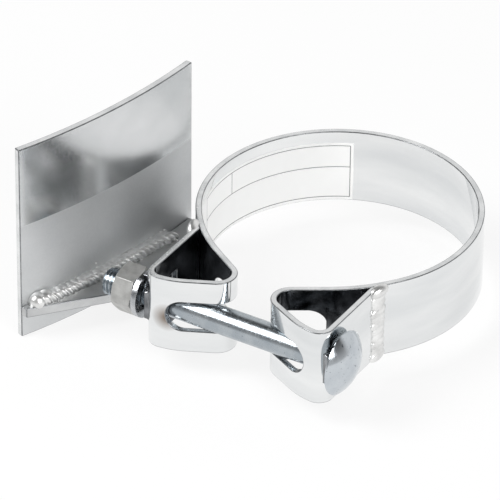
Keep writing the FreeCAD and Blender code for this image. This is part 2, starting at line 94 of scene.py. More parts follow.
class Layer(IntEnum):
    """Where a finish stands among a piece's materials."""

    WALL = 0
    EDGE = 1
    HEAD = 1
    BREAK = 2
    INSIDE = 3


# Plain geometry, in millimetres

def polar(centre: Vector, radius: float, degrees: float) -> Vector:
    """A point at a distance and direction from a centre, in the XY plane.

    Args:
        centre: Where the radius starts.
        radius: Distance in millimetres.
        degrees: Direction, from +X towards +Y.

    Returns:
        The point, at the height of the centre.
    """
    turn = math.radians(degrees)
    return Vector((centre.x + radius * math.cos(turn), centre.y + radius * math.sin(turn), centre.z))


def direction(centre: Vector, point: Vector) -> float:
    """The direction of a point from a centre, in degrees."""
    return math.degrees(math.atan2(point.y - centre.y, point.x - centre.x))


def spaced(first: float, last: float, steps: int) -> list[float]:
    """Evenly spaced values from the first to the last, both among them."""
    return [first + (last - first) * step / steps for step in range(steps + 1)]


def outline(*points: Pair) -> list[Vector]:
    """Points in the XY plane, in millimetres."""
    return [Vector((x, y, 0)) for x, y in points]


def rotation(degrees: float, axis: str) -> Matrix:
    """A rotation about one of the axes."""
    return Matrix.Rotation(math.radians(degrees), 4, axis)


def arc_points(centre: Vector, radius: float, first: float, last: float, steps: int) -> list[Vector]:
    """Points along an arc, both ends among them.

    Args:
        centre: The arc's centre.
        radius: Its radius in millimetres.
        first: Direction of its first point, in degrees.
        last: Direction of its last point, in degrees.
        steps: How many runs it is divided into.

    Returns:
        The points in order.
    """
    return [polar(centre, radius, turn) for turn in spaced(first, last, steps)]


# Modelling by hand: a primitive, edit-mode steps, then modifiers

class Editing:
    """Edit mode on one piece, with its points selected in code."""

    def __init__(self, piece: Piece, element: str = "VERT") -> None:
        """Notes the piece and the kind of element that gets selected."""
        self.piece = piece
        self.element = element

    def __enter__(self) -> "Editing":
        """Opens edit mode on the piece alone."""
        hold(self.piece)
        bpy.ops.object.mode_set(mode="EDIT")
        bpy.ops.mesh.select_mode(type=self.element)
        bpy.ops.mesh.select_all(action="SELECT")
        return self

    def __exit__(self, *problem: Any) -> None:
        """Goes back to object mode."""
        bpy.ops.object.mode_set(mode="OBJECT")

    def pick(self, test: Callable[[Vector], bool]) -> None:
        """Selects the points whose place in millimetres passes a test.

        Args:
            test: Given a point's place, says whether it is selected.
        """
        bpy.ops.mesh.select_all(action="DESELECT")
        mesh = bmesh.from_edit_mesh(self.piece.data)
        for point in mesh.verts:
            point.select = test(point.co / MM)
        mesh.select_flush_mode()
        bmesh.update_edit_mesh(self.piece.data)


def hold(piece: Piece) -> None:
    """Leaves one piece selected and active.

    Args:
        piece: The piece.
    """
    bpy.ops.object.select_all(action="DESELECT")
    piece.select_set(True)
    bpy.context.view_layer.objects.active = piece


def begin(name: str, primitive: Callable[..., Any], at: Sequence[float] = (0, 0, 0),
          **settings: Any) -> Piece:
    """Adds a primitive and applies its place to its mesh.

    Args:
        name: Name of the new piece.
        primitive: One of bpy.ops.mesh's primitive operators.
        at: Its centre in millimetres.
        **settings: The operator's own settings, lengths in metres.

    Returns:
        The new piece, selected and active.
    """
    bpy.ops.object.select_all(action="DESELECT")
    primitive(location=Vector(at) * MM, **settings)
    piece = bpy.context.object
    piece.name = piece.data.name = name
    bpy.ops.object.transform_apply(location=True, rotation=True, scale=True)
    return piece


def begin_at_point(name: str, start: Vector) -> Piece:
    """A piece that is one point so far, to be extruded from.

    Args:
        name: Name of the new piece.
        start: The point in millimetres.

    Returns:
        The new piece.
    """
    piece = begin(name, bpy.ops.mesh.primitive_plane_add, start, size=MM)
    with Editing(piece):
        bpy.ops.mesh.merge(type="CENTER")
    return piece


def extrude(step: Vector) -> None:
    """Extrudes what is selected in edit mode by a step in millimetres."""
    bpy.ops.mesh.extrude_region_move(TRANSFORM_OT_translate={"value": tuple(step * MM)})


def spin(centre: Vector, degrees: float, steps: int) -> None:
    """Turns what is selected in edit mode about an upright axis, from +X towards +Y."""
    bpy.ops.mesh.spin(steps=steps, angle=-math.radians(degrees), center=tuple(centre * MM),
                      axis=(0, 0, 1))


def merge(piece: Piece, distance: float = 0.002) -> None:
    """Makes one point of those that lie within a distance in millimetres."""
    with Editing(piece):
        bpy.ops.mesh.remove_doubles(threshold=distance * MM)


def face_outwards(piece: Piece) -> None:
    """Turns every face of a closed piece outwards."""
    with Editing(piece):
        bpy.ops.mesh.normals_make_consistent(inside=False)


def smooth(piece: Piece, angle: float = 30.0) -> None:
    """Shades a piece smooth across the edges that turn less than an angle in degrees."""
    hold(piece)
    bpy.ops.object.shade_smooth_by_angle(angle=math.radians(angle))


def trace(name: str, points: Sequence[Vector], closed: bool = False) -> Piece:
    """A line through points, extruded one step at a time.

    Args:
        name: Name of the new piece.
        points: The line's points in millimetres.
        closed: Whether the last point joins the first.

    Returns:
        The new piece, which has edges only.
    """
    piece = begin_at_point(name, points[0])
    route = list(points) + ([points[0]] if closed else [])
    with Editing(piece):
        for start, end in zip(route, route[1:]):
            extrude(end - start)
    merge(piece)
    return piece


def lathe(name: str, profile: Sequence[Vector], steps: int) -> Piece:
    """A profile in the XY plane turned right round the X axis.

    Args:
        name: Name of the new piece.
        profile: Points in millimetres, the first and last on the axis for a closed piece.
        steps: Faces round the turn.

    Returns:
        The turned piece, its faces outwards.
    """
    piece = trace(name, profile)
    with Editing(piece):
        bpy.ops.mesh.spin(steps=steps, angle=math.tau, center=(0, 0, 0), axis=(1, 0, 0))
    merge(piece)
    face_outwards(piece)
    return piece


def prism(name: str, corners: Sequence[Vector], depth: Vector) -> Piece:
    """A flat outline filled and extruded.

    Args:
        name: Name of the new piece.
        corners: The outline in millimetres, in order.
        depth: How far and which way it is extruded.

    Returns:
        The closed prism, its faces outwards.
    """
    piece = trace(name, corners, closed=True)
    with Editing(piece):
        bpy.ops.mesh.edge_face_add()
        extrude(depth)
    face_outwards(piece)
    return piece


def modify(piece: Piece, kind: str, **settings: Any) -> None:
    """Adds a modifier and applies it.

    Args:
        piece: The piece that is changed.
        kind: The modifier's type.
        **settings: The modifier's own settings, lengths in metres.
    """
    hold(piece)
    modifier = piece.modifiers.new(kind.lower(), kind)
    for setting, value in settings.items():
        setattr(modifier, setting, value)
    bpy.ops.object.modifier_apply(modifier=modifier.name)


def carve(piece: Piece, cutter: Piece, cut: Cut = Cut.AWAY) -> None:
    """Cuts a piece with another, which is then removed.

    Args:
        piece: The piece that stays.
        cutter: The piece that cuts.
        cut: Whether what the cutter covers goes or stays.
    """
    modify(piece, "BOOLEAN", operation=cut.value, solver="EXACT", object=cutter)
    bpy.data.objects.remove(cutter)


def soften(piece: Piece, width: float, angle: float = 32.0, segments: int = 2, finish: int = -1) -> None:
    """Breaks the sharp edges and shades the piece so that flat faces stay flat.

    Args:
        piece: The piece that is finished.
        width: Width of the broken edge in millimetres.
        angle: Edges sharper than this are broken, in degrees.
        segments: Faces across the broken edge.
        finish: Which of the piece's materials the broken edge takes, -1 for the one beside it.
    """
    modify(piece, "BEVEL", width=width * MM, segments=segments, limit_method="ANGLE",
           angle_limit=math.radians(angle), use_clamp_overlap=False, material=finish)
    hold(piece)
    bpy.ops.object.shade_smooth()
    modify(piece, "WEIGHTED_NORMAL", weight=NORMAL_WEIGHT, keep_sharp=True)


def copies(piece: Piece, places: Sequence[Matrix]) -> Piece:
    """Copies a piece to several places, each copy with its own mesh, and joins them.

    Args:
        piece: The piece that repeats, which is removed.
        places: Where each copy goes, in metres.

    Returns:
        The joined copies under the first piece's name.
    """
    made = []
    for place in places:
        copy = piece.copy()
        copy.data = piece.data.copy()
        copy.data.transform(place)
        bpy.context.scene.collection.objects.link(copy)
        made.append(copy)
    name = piece.name
    bpy.data.objects.remove(piece)
    hold(made[0])
    for copy in made:
        copy.select_set(True)
    bpy.ops.object.join()
    made[0].name = made[0].data.name = name
    return made[0]


def shift(piece: Piece, step: Vector) -> None:
    """Moves a whole mesh by a step in millimetres."""
    piece.data.transform(Matrix.Translation(step * MM))


def coat(piece: Piece, *finishes: "MetalFinish | PaperFinish") -> None:
    """Gives a piece its finishes, the first of them on every face so far."""
    for finish in finishes:
        piece.data.materials.append(finish.material())


def coat_faces(piece: Piece, finish: Layer, test: Callable[[Face], bool], over: bool = False) -> None:
    """Moves the faces that pass a test from the wall's finish to another.

    Args:
        piece: The piece.
        finish: The finish that they get.
        test: Says whether a face gets it.
        over: Whether it also covers faces that already have some other finish.
    """
    for face in piece.data.polygons:
        if (over or face.material_index == Layer.WALL) and test(face):
            face.material_index = finish


def stands_for(piece: Piece, body: Body, slot: str, *nodes: str) -> None:
    """Rides a piece on its body in place of the CAD nodes that it stands for.

    Args:
        piece: The finished piece.
        body: The body it moves with.
        slot: The record's material slot; it is not used.
        *nodes: The CAD nodes that it hides.
    """
    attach(piece, body.value)
    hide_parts(*nodes)
    log.info("%s rides on %s, %d faces", piece.name, body.value, len(piece.data.polygons))


# Finishes

def linear(colour: str) -> tuple[float, float, float, float]:
    """Turns an sRGB hex colour to the linear values that a shader takes.

    Args:
        colour: Six hex digits.

    Returns:
        Red, green, blue and an alpha of 1.
    """
    channels = [int(colour[place:place + 2], 16) / 255 for place in (0, 2, 4)]
    red, green, blue = (c / 12.92 if c <= 0.04045 else ((c + 0.055) / 1.055) ** 2.4 for c in channels)
    return red, green, blue, 1.0


def add_node(tree: Tree, kind: str, links: dict[Any, Any] | None = None, **settings: Any) -> bpy.types.Node:
    """Adds a node with its settings, values and links.

    Args:
        tree: The node tree.
        kind: The node's type, without its ShaderNode prefix.
        links: For each input by name or number, a value or an output to link.
        **settings: The node's own settings.

    Returns:
        The new node.
    """
    node = tree.nodes.new("ShaderNode" + kind)
    for setting, value in settings.items():
        setattr(node, setting, value)
    for place, value in (links or {}).items():
        if isinstance(value, Socket):
            tree.links.new(value, node.inputs[place])
        else:
            node.inputs[place].default_value = value
    return node


def pattern(tree: Tree, size: Triple, detail: float = 3.0) -> Socket:
    """Noise whose patches have a real size along each axis.

    Args:
        tree: The node tree.
        size: Size of a patch along X, Y and Z, in millimetres.
        detail: How many finer layers are added.

    Returns:
        The noise's value, from 0 to 1.
    """
    place = add_node(tree, "TexCoord")
    scaled = add_node(tree, "Mapping", {"Vector": place.outputs["Object"],
                                        "Scale": [1 / (side * MM) for side in size]})
    noise = add_node(tree, "TexNoise", {"Vector": scaled.outputs[0], "Scale": 1.0, "Detail": detail})
    return noise.outputs[0]


def spread(tree: Tree, value: Socket, source: Pair, target: Pair) -> Socket:
    """Maps one range of a value to another and holds it there.

    Args:
        tree: The node tree.
        value: The value that is mapped.
        source: The range it comes from.
        target: The range it goes to.

    Returns:
        The mapped value.
    """
    mapped = add_node(tree, "MapRange", {0: value, 1: source[0], 2: source[1], 3: target[0], 4: target[1]})
    return mapped.outputs[0]


def blend_colours(tree: Tree, share: Socket, first: Any, second: Any) -> Socket:
    """Mixes two colours by a share.

    Args:
        tree: The node tree.
        share: How much of the second colour shows.
        first: A colour or an output.
        second: A colour or an output.

    Returns:
        The mixed colour.
    """
    mixed = add_node(tree, "Mix", {0: share, 6: first, 7: second}, data_type="RGBA")
    return mixed.outputs[2]


def calculate(tree: Tree, operation: str, *values: Any) -> Socket:
    """The result of one math node, from its operation and its inputs in order."""
    return add_node(tree, "Math", dict(enumerate(values)), operation=operation).outputs[0]


def coordinates(tree: Tree, space: str = "Object") -> bpy.types.Node:
    """A node whose outputs are the X, Y and Z of each place."""
    place = add_node(tree, "TexCoord")
    return add_node(tree, "SeparateXYZ", {0: place.outputs[space]})


def empty_material(title: str) -> bpy.types.Material:
    """A new material that has nodes.

    Args:
        title: Its name.

    Returns:
        The material.
    """
    made = bpy.data.materials.new(title)
    made.use_nodes = True
    return made


@dataclass(frozen=True)
class Patch:
    """A soft spot of colour, such as the tint that welding heat leaves, at its full in its core."""

    centre: Triple
    radius: float
    colour: str
    core: float = 0.2


@dataclass(frozen=True)
class MetalFinish:
    """A metal surface: two close shades, its polish, and the marks that its making left."""

    title: str
    light: str
    dark: str
    polish: Pair
    patch_size: Triple
    mark_size: Triple
    mark_depth: float
    speck_size: float = 0.0
    speck_colour: str = "ffffff"
    patches: tuple[Patch, ...] = ()
    dull_below: float | None = None
    dull_polish: Pair = (0.0, 0.0)

    def material(self) -> bpy.types.Material:
        """Builds the node material.

        Returns:
            The material.
        """
        made = empty_material(self.title)
        tree = made.node_tree
        shader = tree.nodes["Principled BSDF"]
        shade = spread(tree, pattern(tree, self.patch_size), NOISE, SHARE)
        colour = blend_colours(tree, shade, linear(self.light), linear(self.dark))
        for patch in self.patches:
            colour = self.tinted(tree, colour, patch)
        if self.speck_size:
            specks = spread(tree, pattern(tree, (self.speck_size,) * 3, detail=1.0), SPECK_EDGE, SHARE)
            colour = blend_colours(tree, specks, colour, linear(self.speck_colour))
        marks = pattern(tree, self.mark_size, detail=4.0)
        rough = spread(tree, marks, NOISE, self.polish)
        if self.dull_below is not None:
            rough = self.dulled(tree, rough, spread(tree, marks, NOISE, self.dull_polish))
        tree.links.new(colour, shader.inputs["Base Color"])
        tree.links.new(rough, shader.inputs["Roughness"])
        shader.inputs["Metallic"].default_value = 1.0
        bump = add_node(tree, "Bump", {"Height": marks, "Strength": 1.0, "Distance": self.mark_depth * MM})
        tree.links.new(bump.outputs[0], shader.inputs["Normal"])
        return made

    def dulled(self, tree: Tree, polished: Socket, dull: Socket) -> Socket:
        """Chooses the dull roughness below a height and the polished one above it.

        Args:
            tree: The node tree.
            polished: Roughness above the height.
            dull: Roughness below it.

        Returns:
            The roughness at each place.
        """
        below = calculate(tree, "LESS_THAN", coordinates(tree).outputs["Z"], self.dull_below * MM)
        return add_node(tree, "Mix", {0: below, 2: polished, 3: dull}).outputs[0]

    def tinted(self, tree: Tree, colour: Socket, patch: Patch) -> Socket:
        """Lays a soft patch of another colour near a point.

        Args:
            tree: The node tree.
            colour: The colour so far.
            patch: The area and its colour.

        Returns:
            The colour with the patch on it.
        """
        place = add_node(tree, "TexCoord")
        away = add_node(tree, "VectorMath", {0: place.outputs["Object"], 1: [c * MM for c in patch.centre]},
                        operation="DISTANCE")
        reach = patch.radius * MM
        share = spread(tree, away.outputs["Value"], (reach, patch.core * reach), SHARE)
        return blend_colours(tree, share, colour, linear(patch.colour))


@dataclass(frozen=True)
class PaperFinish:
    """Coated paper with a printed frame of thin ruled lines and nothing written in it."""

    title: str = "coated_paper_label"
    paper: str = "fdfdfc"
    ink: str = "6f7072"
    polish: float = 0.42
    fibre_size: float = 6.0
    fibre_share: float = 0.02
    line_width: float = 0.35
    rulings: Triple = (10.4, -0.4, -15.7)
    ends: Pair = (116.2, 196.0)
    divider: float = 173.0
    radius: float = 58.5

    def material(self) -> bpy.types.Material:
        """Builds the node material.

        Returns:
            The material.
        """
        made = empty_material(self.title)
        tree = made.node_tree
        shader = tree.nodes["Principled BSDF"]
        parts = coordinates(tree)
        turn = calculate(tree, "ARCTAN2", parts.outputs["Y"], parts.outputs["X"])
        along = calculate(tree, "MULTIPLY", turn, self.radius * MM)
        arc = calculate(tree, "FLOORED_MODULO", along, math.tau * self.radius * MM)
        height = parts.outputs["Z"]
        top, middle, bottom = self.rulings
        first, last, split = (math.radians(end) * self.radius for end in (*self.ends, self.divider))
        inked = [self.line(tree, height, ruling, arc, (first, last)) for ruling in self.rulings]
        inked += [self.line(tree, arc, end, height, (bottom, top)) for end in (first, last)]
        inked.append(self.line(tree, arc, split, height, (middle, top)))
        total = inked[0]
        for line in inked[1:]:
            total = calculate(tree, "MAXIMUM", total, line)
        fibres = spread(tree, pattern(tree, (self.fibre_size,) * 3), NOISE, (0.0, self.fibre_share))
        paper = blend_colours(tree, fibres, linear(self.paper), linear(self.ink))
        tree.links.new(blend_colours(tree, total, paper, linear(self.ink)), shader.inputs["Base Color"])
        shader.inputs["Roughness"].default_value = self.polish
        return made

    def line(self, tree: Tree, across: Socket, at: float, along: Socket, span: Pair) -> Socket:
        """One ruled line, as a mask.

        Args:
            tree: The node tree.
            across: The coordinate that the line is thin along, in metres.
            at: The line's place on it, in millimetres.
            along: The coordinate that the line runs along, in metres.
            span: Where it starts and ends, in millimetres.

        Returns:
            1 on the line and 0 elsewhere.
        """
        thin = calculate(tree, "COMPARE", across, at * MM, self.line_width / 2 * MM)
        middle, half = (span[0] + span[1]) / 2, (span[1] - span[0]) / 2
        within = calculate(tree, "COMPARE", along, middle * MM, half * MM)
        return calculate(tree, "MULTIPLY", thin, within)


# Stainless strip, cold rolled and bright: a near mirror with faint lines along its length
POLISHED_STRIP = MetalFinish(
    "bright_rolled_stainless", "eeefef", "dddfe0", polish=(0.035, 0.09), patch_size=(70, 70, 14),
    mark_size=(45, 45, 0.5), mark_depth=0.004, patches=(Patch((-33.2, -84.6, -1.5), 7.0, "85776b"),))
# Where shears cut strip and saddle: a fine grain along the cut, which shines softer than the walls
SHEARED_EDGE = MetalFinish(
    "sheared_stainless_edge", "ebecec", "cfd1d2", polish=(0.16, 0.30), patch_size=(9, 9, 9),
    mark_size=(1.2, 1.2, 6), mark_depth=0.015)
# The broken corner of every cut: a torn burr, coloured dark as a painted reflection of shade, which draws the
# thin dark line along each rim
BURR_AND_PAINTED_EDGE_SHADE = MetalFinish(
    "torn_burr_and_painted_edge_shade", "9c9ea0", "747678", polish=(0.25, 0.40), patch_size=(3, 3, 3),
    mark_size=(0.9, 0.9, 0.9), mark_depth=0.02)
# Painted shade: the loops' inside faces and the pads' shoulders, coloured dark for the shade that falls in
# them, and never polished
PAINTED_SHADE_INSIDE = MetalFinish(
    "stainless_painted_shade_inside", "9a9c9f", "3d3f42", polish=(0.10, 0.24), patch_size=(11, 11, 9),
    mark_size=(3, 3, 3), mark_depth=0.01)
# The gusset's rolled plate, mill finish: a mid grey satin that smears reflections, with broad smudges
ROLLED_PLATE = MetalFinish(
    "mill_finish_stainless_plate", "babbbb", "a8a9aa", polish=(0.30, 0.42), patch_size=(26, 26, 20),
    mark_size=(1.1, 1.1, 1.1), mark_depth=0.010)
# The gusset's sawn edge: finely scored, between the plate's grey and the strip's pale rims
SAWN_EDGE = MetalFinish(
    "sawn_stainless_edge", "d0d1d1", "bbbcbd", polish=(0.26, 0.38), patch_size=(9, 9, 9),
    mark_size=(1.2, 1.2, 6), mark_depth=0.015)
# The saddle's plate: its upper part keeps the mill's shine, its lower part is rubbed dull up to a line
SADDLE_PLATE = MetalFinish(
    "half_dulled_stainless_plate", "dedfe0", "cfd1d2", polish=(0.17, 0.25), patch_size=(40, 40, 30),
    mark_size=(1.1, 1.1, 1.1), mark_depth=0.008, dull_below=27.0, dull_polish=(0.46, 0.58))
# Weld metal as deposited: pale and silvery, uneven from ripple to ripple
WELD_METAL = MetalFinish(
    "deposited_weld_metal", "f3f3f2", "d9d9d8", polish=(0.28, 0.42), patch_size=(5, 5, 5),
    mark_size=(1.3, 1.3, 1.3), mark_depth=0.02)
# Zinc plate, clear passivated: a bluish grey with a few small dark pits
ZINC_BOLT = MetalFinish(
    "bright_zinc_plate", "b4babe", "9aa2a9", polish=(0.18, 0.30), patch_size=(9, 9, 9),
    mark_size=(1.6, 1.6, 1.6), mark_depth=0.006, speck_size=0.9, speck_colour="6d757c")
# The bolt's head, forged smooth before plating: the same zinc with a sharper shine, and a paler colour that
# is painted light
ZINC_HEAD_PAINTED_LIGHTER = MetalFinish(
    "zinc_plated_head_painted_lighter", "ced3d7", "bac0c6", polish=(0.10, 0.18), patch_size=(9, 9, 9),
    mark_size=(2.4, 2.4, 2.4), mark_depth=0.006, speck_size=0.9, speck_colour="6d757c")
# The nut's zinc: no blue in its grey, and a matt bloom
ZINC_NUT = MetalFinish(
    "dull_zinc_plate", "c9c9c7", "adadab", polish=(0.42, 0.58), patch_size=(3.5, 3.5, 3.5),
    mark_size=(0.7, 0.7, 0.7), mark_depth=0.03)
# Hardened spring wire under zinc: a neutral grey, with a soft shine on its rounded edge
SPRING_STEEL = MetalFinish(
    "zinc_plated_spring_steel", "c3c5c8", "9b9ea2", polish=(0.20, 0.34), patch_size=(4, 4, 4),
    mark_size=(0.7, 0.7, 0.7), mark_depth=0.02)
# Coated paper: bright white, barely shiny
LABEL_PAPER = PaperFinish()


# The strip

@dataclass
class Strip:
    """The one strip of steel: a ring with both ends folded into loops. Lengths in millimetres."""

    ring_bore: float = 117.2
    thickness: float = 2.65
    width: float = 35.0
    ease_radius: float = 77.0
    ease_angle: float = 56.0
    flare_angle: float = 32.0
    half_gap: float = 9.4
    gap_radius: float = 8.8
    front_angle: float = 26.0
    front_end_angle: float = 5.0
    front_radius: float = 34.0
    seat_radius: float = 6.5
    seat: float = 44.3
    slot_height: float = 14.3
    slot_front_reach: float = 33.5
    slot_ring_reach: float = 27.5
    pad_flat: float = 6.5
    pad_foot: float = 7.0
    pad_rise: float = 1.8
    pad_reach: float = 13.5
    pad_slope: float = 1.3
    pad_wrap: float = 38.0
    pad_wrap_slope: float = 14.0
    shoulder_share: float = 0.15
    shoulder_margin: float = 0.1
    shoulder_turn: float = 2.0
    hole_rise: float = 3.1
    hole_half: float = 6.35
    hole_corner: float = 1.0
    hole_depth: float = 12.0
    end_gap: float = 0.02
    inside_top: float = 42.0
    inside_middle: Triple = (32.0, -70.0, 0.0)
    flex_half: float = 9.0
    edge_break: float = 0.34
    fine_step: float = 5.0
    ring_step: float = 2.5
    slack: float = 0.02
    end_slack: float = 0.05
    turn_slack: float = 0.1

    def __post_init__(self) -> None:
        """Works out the loop's centres from its sizes, as they follow from one another."""
        half = self.thickness / 2
        origin = Vector((0, 0, 0))
        flare = math.radians(self.flare_angle)
        self.origin = origin
        self.ring_radius = self.ring_bore / 2 + half
        self.ease_centre = polar(origin, self.ring_radius - self.ease_radius, self.ease_angle - 90)
        inner_face = (self.ease_centre.x * math.sin(flare) - self.ease_centre.y * math.cos(flare)
                      + self.ease_radius - half)
        gap_x = self.half_gap + self.gap_radius
        gap_y = (gap_x * math.sin(flare) - inner_face - self.gap_radius) / math.cos(flare)
        self.gap_centre = Vector((gap_x, gap_y, 0))
        wall_start = polar(self.gap_centre, self.gap_radius, -90 - self.front_angle)
        steep = math.sin(math.radians(self.front_angle))
        gentle = math.sin(math.radians(self.front_end_angle))
        run = (self.seat - self.seat_radius * (1 + gentle) - self.front_radius * (steep - gentle)
               - wall_start.x)
        bend_start = polar(wall_start, run / math.cos(math.radians(self.front_angle)), -self.front_angle)
        self.front_centre = polar(bend_start, self.front_radius, 90 - self.front_angle)
        bend_end = polar(self.front_centre, self.front_radius, -90 - self.front_end_angle)
        self.seat_centre = polar(bend_end, self.seat_radius, 90 - self.front_end_angle)
        self.bolt_y = self.seat_centre.y + self.hole_rise
        self.middle_seat = self.seat - half

    def ring_outside(self, across: float) -> Vector:
        """The point of the strip's outer face, beside the loop, at a distance from the middle plane.

        Args:
            across: The distance in millimetres.

        Returns:
            The point on the outer face.
        """
        radius = self.ease_radius + self.thickness / 2
        drop = math.sqrt(radius ** 2 - (across - self.ease_centre.x) ** 2)
        return Vector((across, self.ease_centre.y - drop, 0))

    def sweep(self, piece: Piece) -> None:
        """Takes the strip's end edge along the whole middle line, from the left seat to the right.

        Args:
            piece: A piece that is one upright edge at the left seat's upper end.
        """
        half = self.thickness / 2
        pad_top = self.bolt_y + self.pad_reach
        seat_stops = [Vector((self.middle_seat, y, 0))
                      for y in (pad_top, pad_top - self.pad_slope, self.seat_centre.y)]
        wrap = [self.pad_wrap, self.pad_wrap_slope,
                90 + self.front_end_angle - self.pad_wrap - self.pad_wrap_slope]
        bend = self.front_angle - self.front_end_angle
        gap_turn = 180 - self.front_angle - self.flare_angle
        bend_start = polar(self.front_centre, self.front_radius - half, -90 - self.front_angle)
        gap_end = polar(self.gap_centre, self.gap_radius - half, 270 - self.front_angle)
        gap_start = polar(self.gap_centre, self.gap_radius - half, 90 + self.flare_angle)
        ease_end = polar(self.ease_centre, self.ease_radius, self.flare_angle - 90)
        ease_turn = self.ease_angle - self.flare_angle
        ring_turn = 180 - self.ease_angle
        with Editing(piece):
            self.at = self.flipped(self.ring_outside(self.middle_seat))
            for stop in seat_stops:
                self.straight(self.flipped(stop))
            for degrees in wrap:
                self.turn(self.flipped(self.seat_centre), degrees, self.fine_step)
            self.turn(self.flipped(self.front_centre), bend, self.fine_step)
            self.straight(self.flipped(gap_end))
            self.turn(self.flipped(self.gap_centre), gap_turn, self.fine_step)
            self.straight(self.flipped(ease_end))
            self.turn(self.flipped(self.ease_centre), -ease_turn, self.ring_step)
            self.turn(self.origin, -2 * ring_turn, self.ring_step)
            self.turn(self.ease_centre, -ease_turn, self.ring_step)
            self.straight(gap_start)
            self.turn(self.gap_centre, gap_turn, self.fine_step)
            self.straight(bend_start)
            self.turn(self.front_centre, bend, self.fine_step)
            for degrees in reversed(wrap):
                self.turn(self.seat_centre, degrees, self.fine_step)
            for stop in reversed(seat_stops[:-1]):
                self.straight(stop)
            self.straight(self.ring_outside(self.middle_seat))

    def flipped(self, point: Vector) -> Vector:
        """The same point on the other half."""
        return Vector((-point.x, point.y, point.z))

    def folded(self, point: Vector) -> Vector:
        """The same point on the right half, at the middle of the width."""
        return Vector((abs(point.x), point.y, 0))

    def straight(self, end: Vector) -> None:
        """Extrudes the strip's end edge straight to a point of the middle line."""
        extrude(end - self.at)
        self.at = end

    def turn(self, centre: Vector, degrees: float, step: float) -> None:
        """Bends the strip's end edge about an upright axis.

        Args:
            centre: Where the axis stands.
            degrees: How far it turns, positive from +X towards +Y.
            step: The most that one face turns, in degrees.
        """
        spin(centre, degrees, max(1, math.ceil(abs(degrees) / step)))
        self.at = centre + Matrix.Rotation(math.radians(degrees), 3, "Z") @ (self.at - centre)

    def seat_normal(self, place: Vector, top: float, wrap: float) -> Vector | None:
        """Which way a seat wall, or the corner below it, faces at a place.

        Args:
            place: The place in millimetres, on either skin of the strip or between them.
            top: How far up the wall counts.
            wrap: How far round the corner counts, in degrees.

        Returns:
            The direction outwards, or None away from the seats.
        """
        half = self.thickness / 2
        reach = half + self.slack
        spot, side = self.folded(place), math.copysign(1, place.x)
        along_wall = self.seat_centre.y - self.slack < spot.y < top + self.slack
        if along_wall and abs(spot.x - self.middle_seat) < reach:
            return Vector((side, 0, 0))
        out = spot - self.seat_centre
        round_corner = -wrap - self.turn_slack < direction(self.seat_centre, spot) < self.turn_slack
        if round_corner and abs(out.length - self.seat_radius + half) < reach:
            return Vector((out.x * side, out.y, 0)).normalized()
        return None

    def mark_pads(self, piece: Piece) -> None:
        """Cuts the edges of the seat pads into the seat walls and corners.

        Args:
            piece: The strip before it has its wall.
        """
        top = self.seat_centre.y + self.width
        wrap = 90 + self.front_end_angle
        with Editing(piece) as editing:
            for height in (self.pad_foot, self.pad_flat, -self.pad_flat, -self.pad_foot):
                for side in (-1, 1):
                    editing.pick(lambda place: place.x * side > 0 and
                                 self.seat_normal(place, top, wrap) is not None)
                    bpy.ops.mesh.bisect(plane_co=(0, 0, height * MM), plane_no=(0, 0, 1))

    def press_pads(self, piece: Piece) -> None:
        """Presses a flat pad out of each seat wall and partly round the corner below it.

        Args:
            piece: The strip with its wall.
        """
        top = self.bolt_y + self.pad_reach - self.pad_slope
        for point in piece.data.vertices:
            place = point.co / MM
            out = self.seat_normal(place, top, self.pad_wrap)
            if out is not None and abs(place.z) < self.pad_flat + self.slack:
                point.co += out * self.pad_rise * MM

    def seat_ends(self, piece: Piece) -> None:
        """Trims both ends of the strip to the ring's outer face.

        Args:
            piece: The strip with its wall.
        """
        end = self.ring_outside(self.middle_seat).y
        for point in piece.data.vertices:
            across = abs(point.co.x) / MM
            on_wall = abs(across - self.middle_seat) < self.thickness / 2 + self.end_slack
            if on_wall and abs(point.co.y / MM - end) < self.end_slack:
                point.co.y = (self.ring_outside(across).y - self.end_gap) * MM

    def slot_cutter(self, reach: float, forwards: int) -> Piece:
        """A long round-ended bar that passes through one wall of both loops.

        Args:
            reach: Where the slot ends, from the middle plane.
            forwards: -1 for the front walls, 1 for the ring's.

        Returns:
            The cutter.
        """
        radius = self.slot_height / 2
        depth = 2 * self.gap_radius
        bar = begin("slot_cutter", bpy.ops.mesh.primitive_cylinder_add,
                    (0, self.gap_centre.y + forwards * depth / 2, 0), vertices=64, radius=radius * MM,
                    depth=depth * MM, rotation=(math.pi / 2, 0, 0))
        with Editing(bar) as editing:
            for side in (-1, 1):
                editing.pick(lambda place: side * place.x > self.slack)
                bpy.ops.transform.translate(value=(side * (reach - radius) * MM, 0, 0))
        return bar

    def hole_cutter(self, side: int) -> Piece:
        """A square bar with rounded corners that passes through one seat wall.

        Args:
            side: 1 for the right loop, -1 for the left.

        Returns:
            The cutter.
        """
        width = 2 * self.hole_half
        bar = begin("hole_cutter", bpy.ops.mesh.primitive_cube_add, (side * self.seat, self.bolt_y, 0),
                    size=MM, scale=(self.hole_depth, width, width))
        modify(bar, "BEVEL", width=self.hole_corner * MM, segments=4, limit_method="ANGLE")
        return bar

    def faces_inside(self, place: Vector, normal: Vector) -> bool:
        """Whether a face looks into the closed space of a loop.

        Args:
            place: The face's middle in millimetres.
            normal: Which way it faces.

        Returns:
            True for the inside faces of both loops.
        """
        spot = self.folded(place)
        out = Vector((math.copysign(1, place.x) * normal.x, normal.y, 0))
        in_loop = self.half_gap < spot.x < self.seat + self.pad_rise and spot.y < -self.inside_top
        return in_loop and out.dot(Vector(self.inside_middle) - spot) > 0

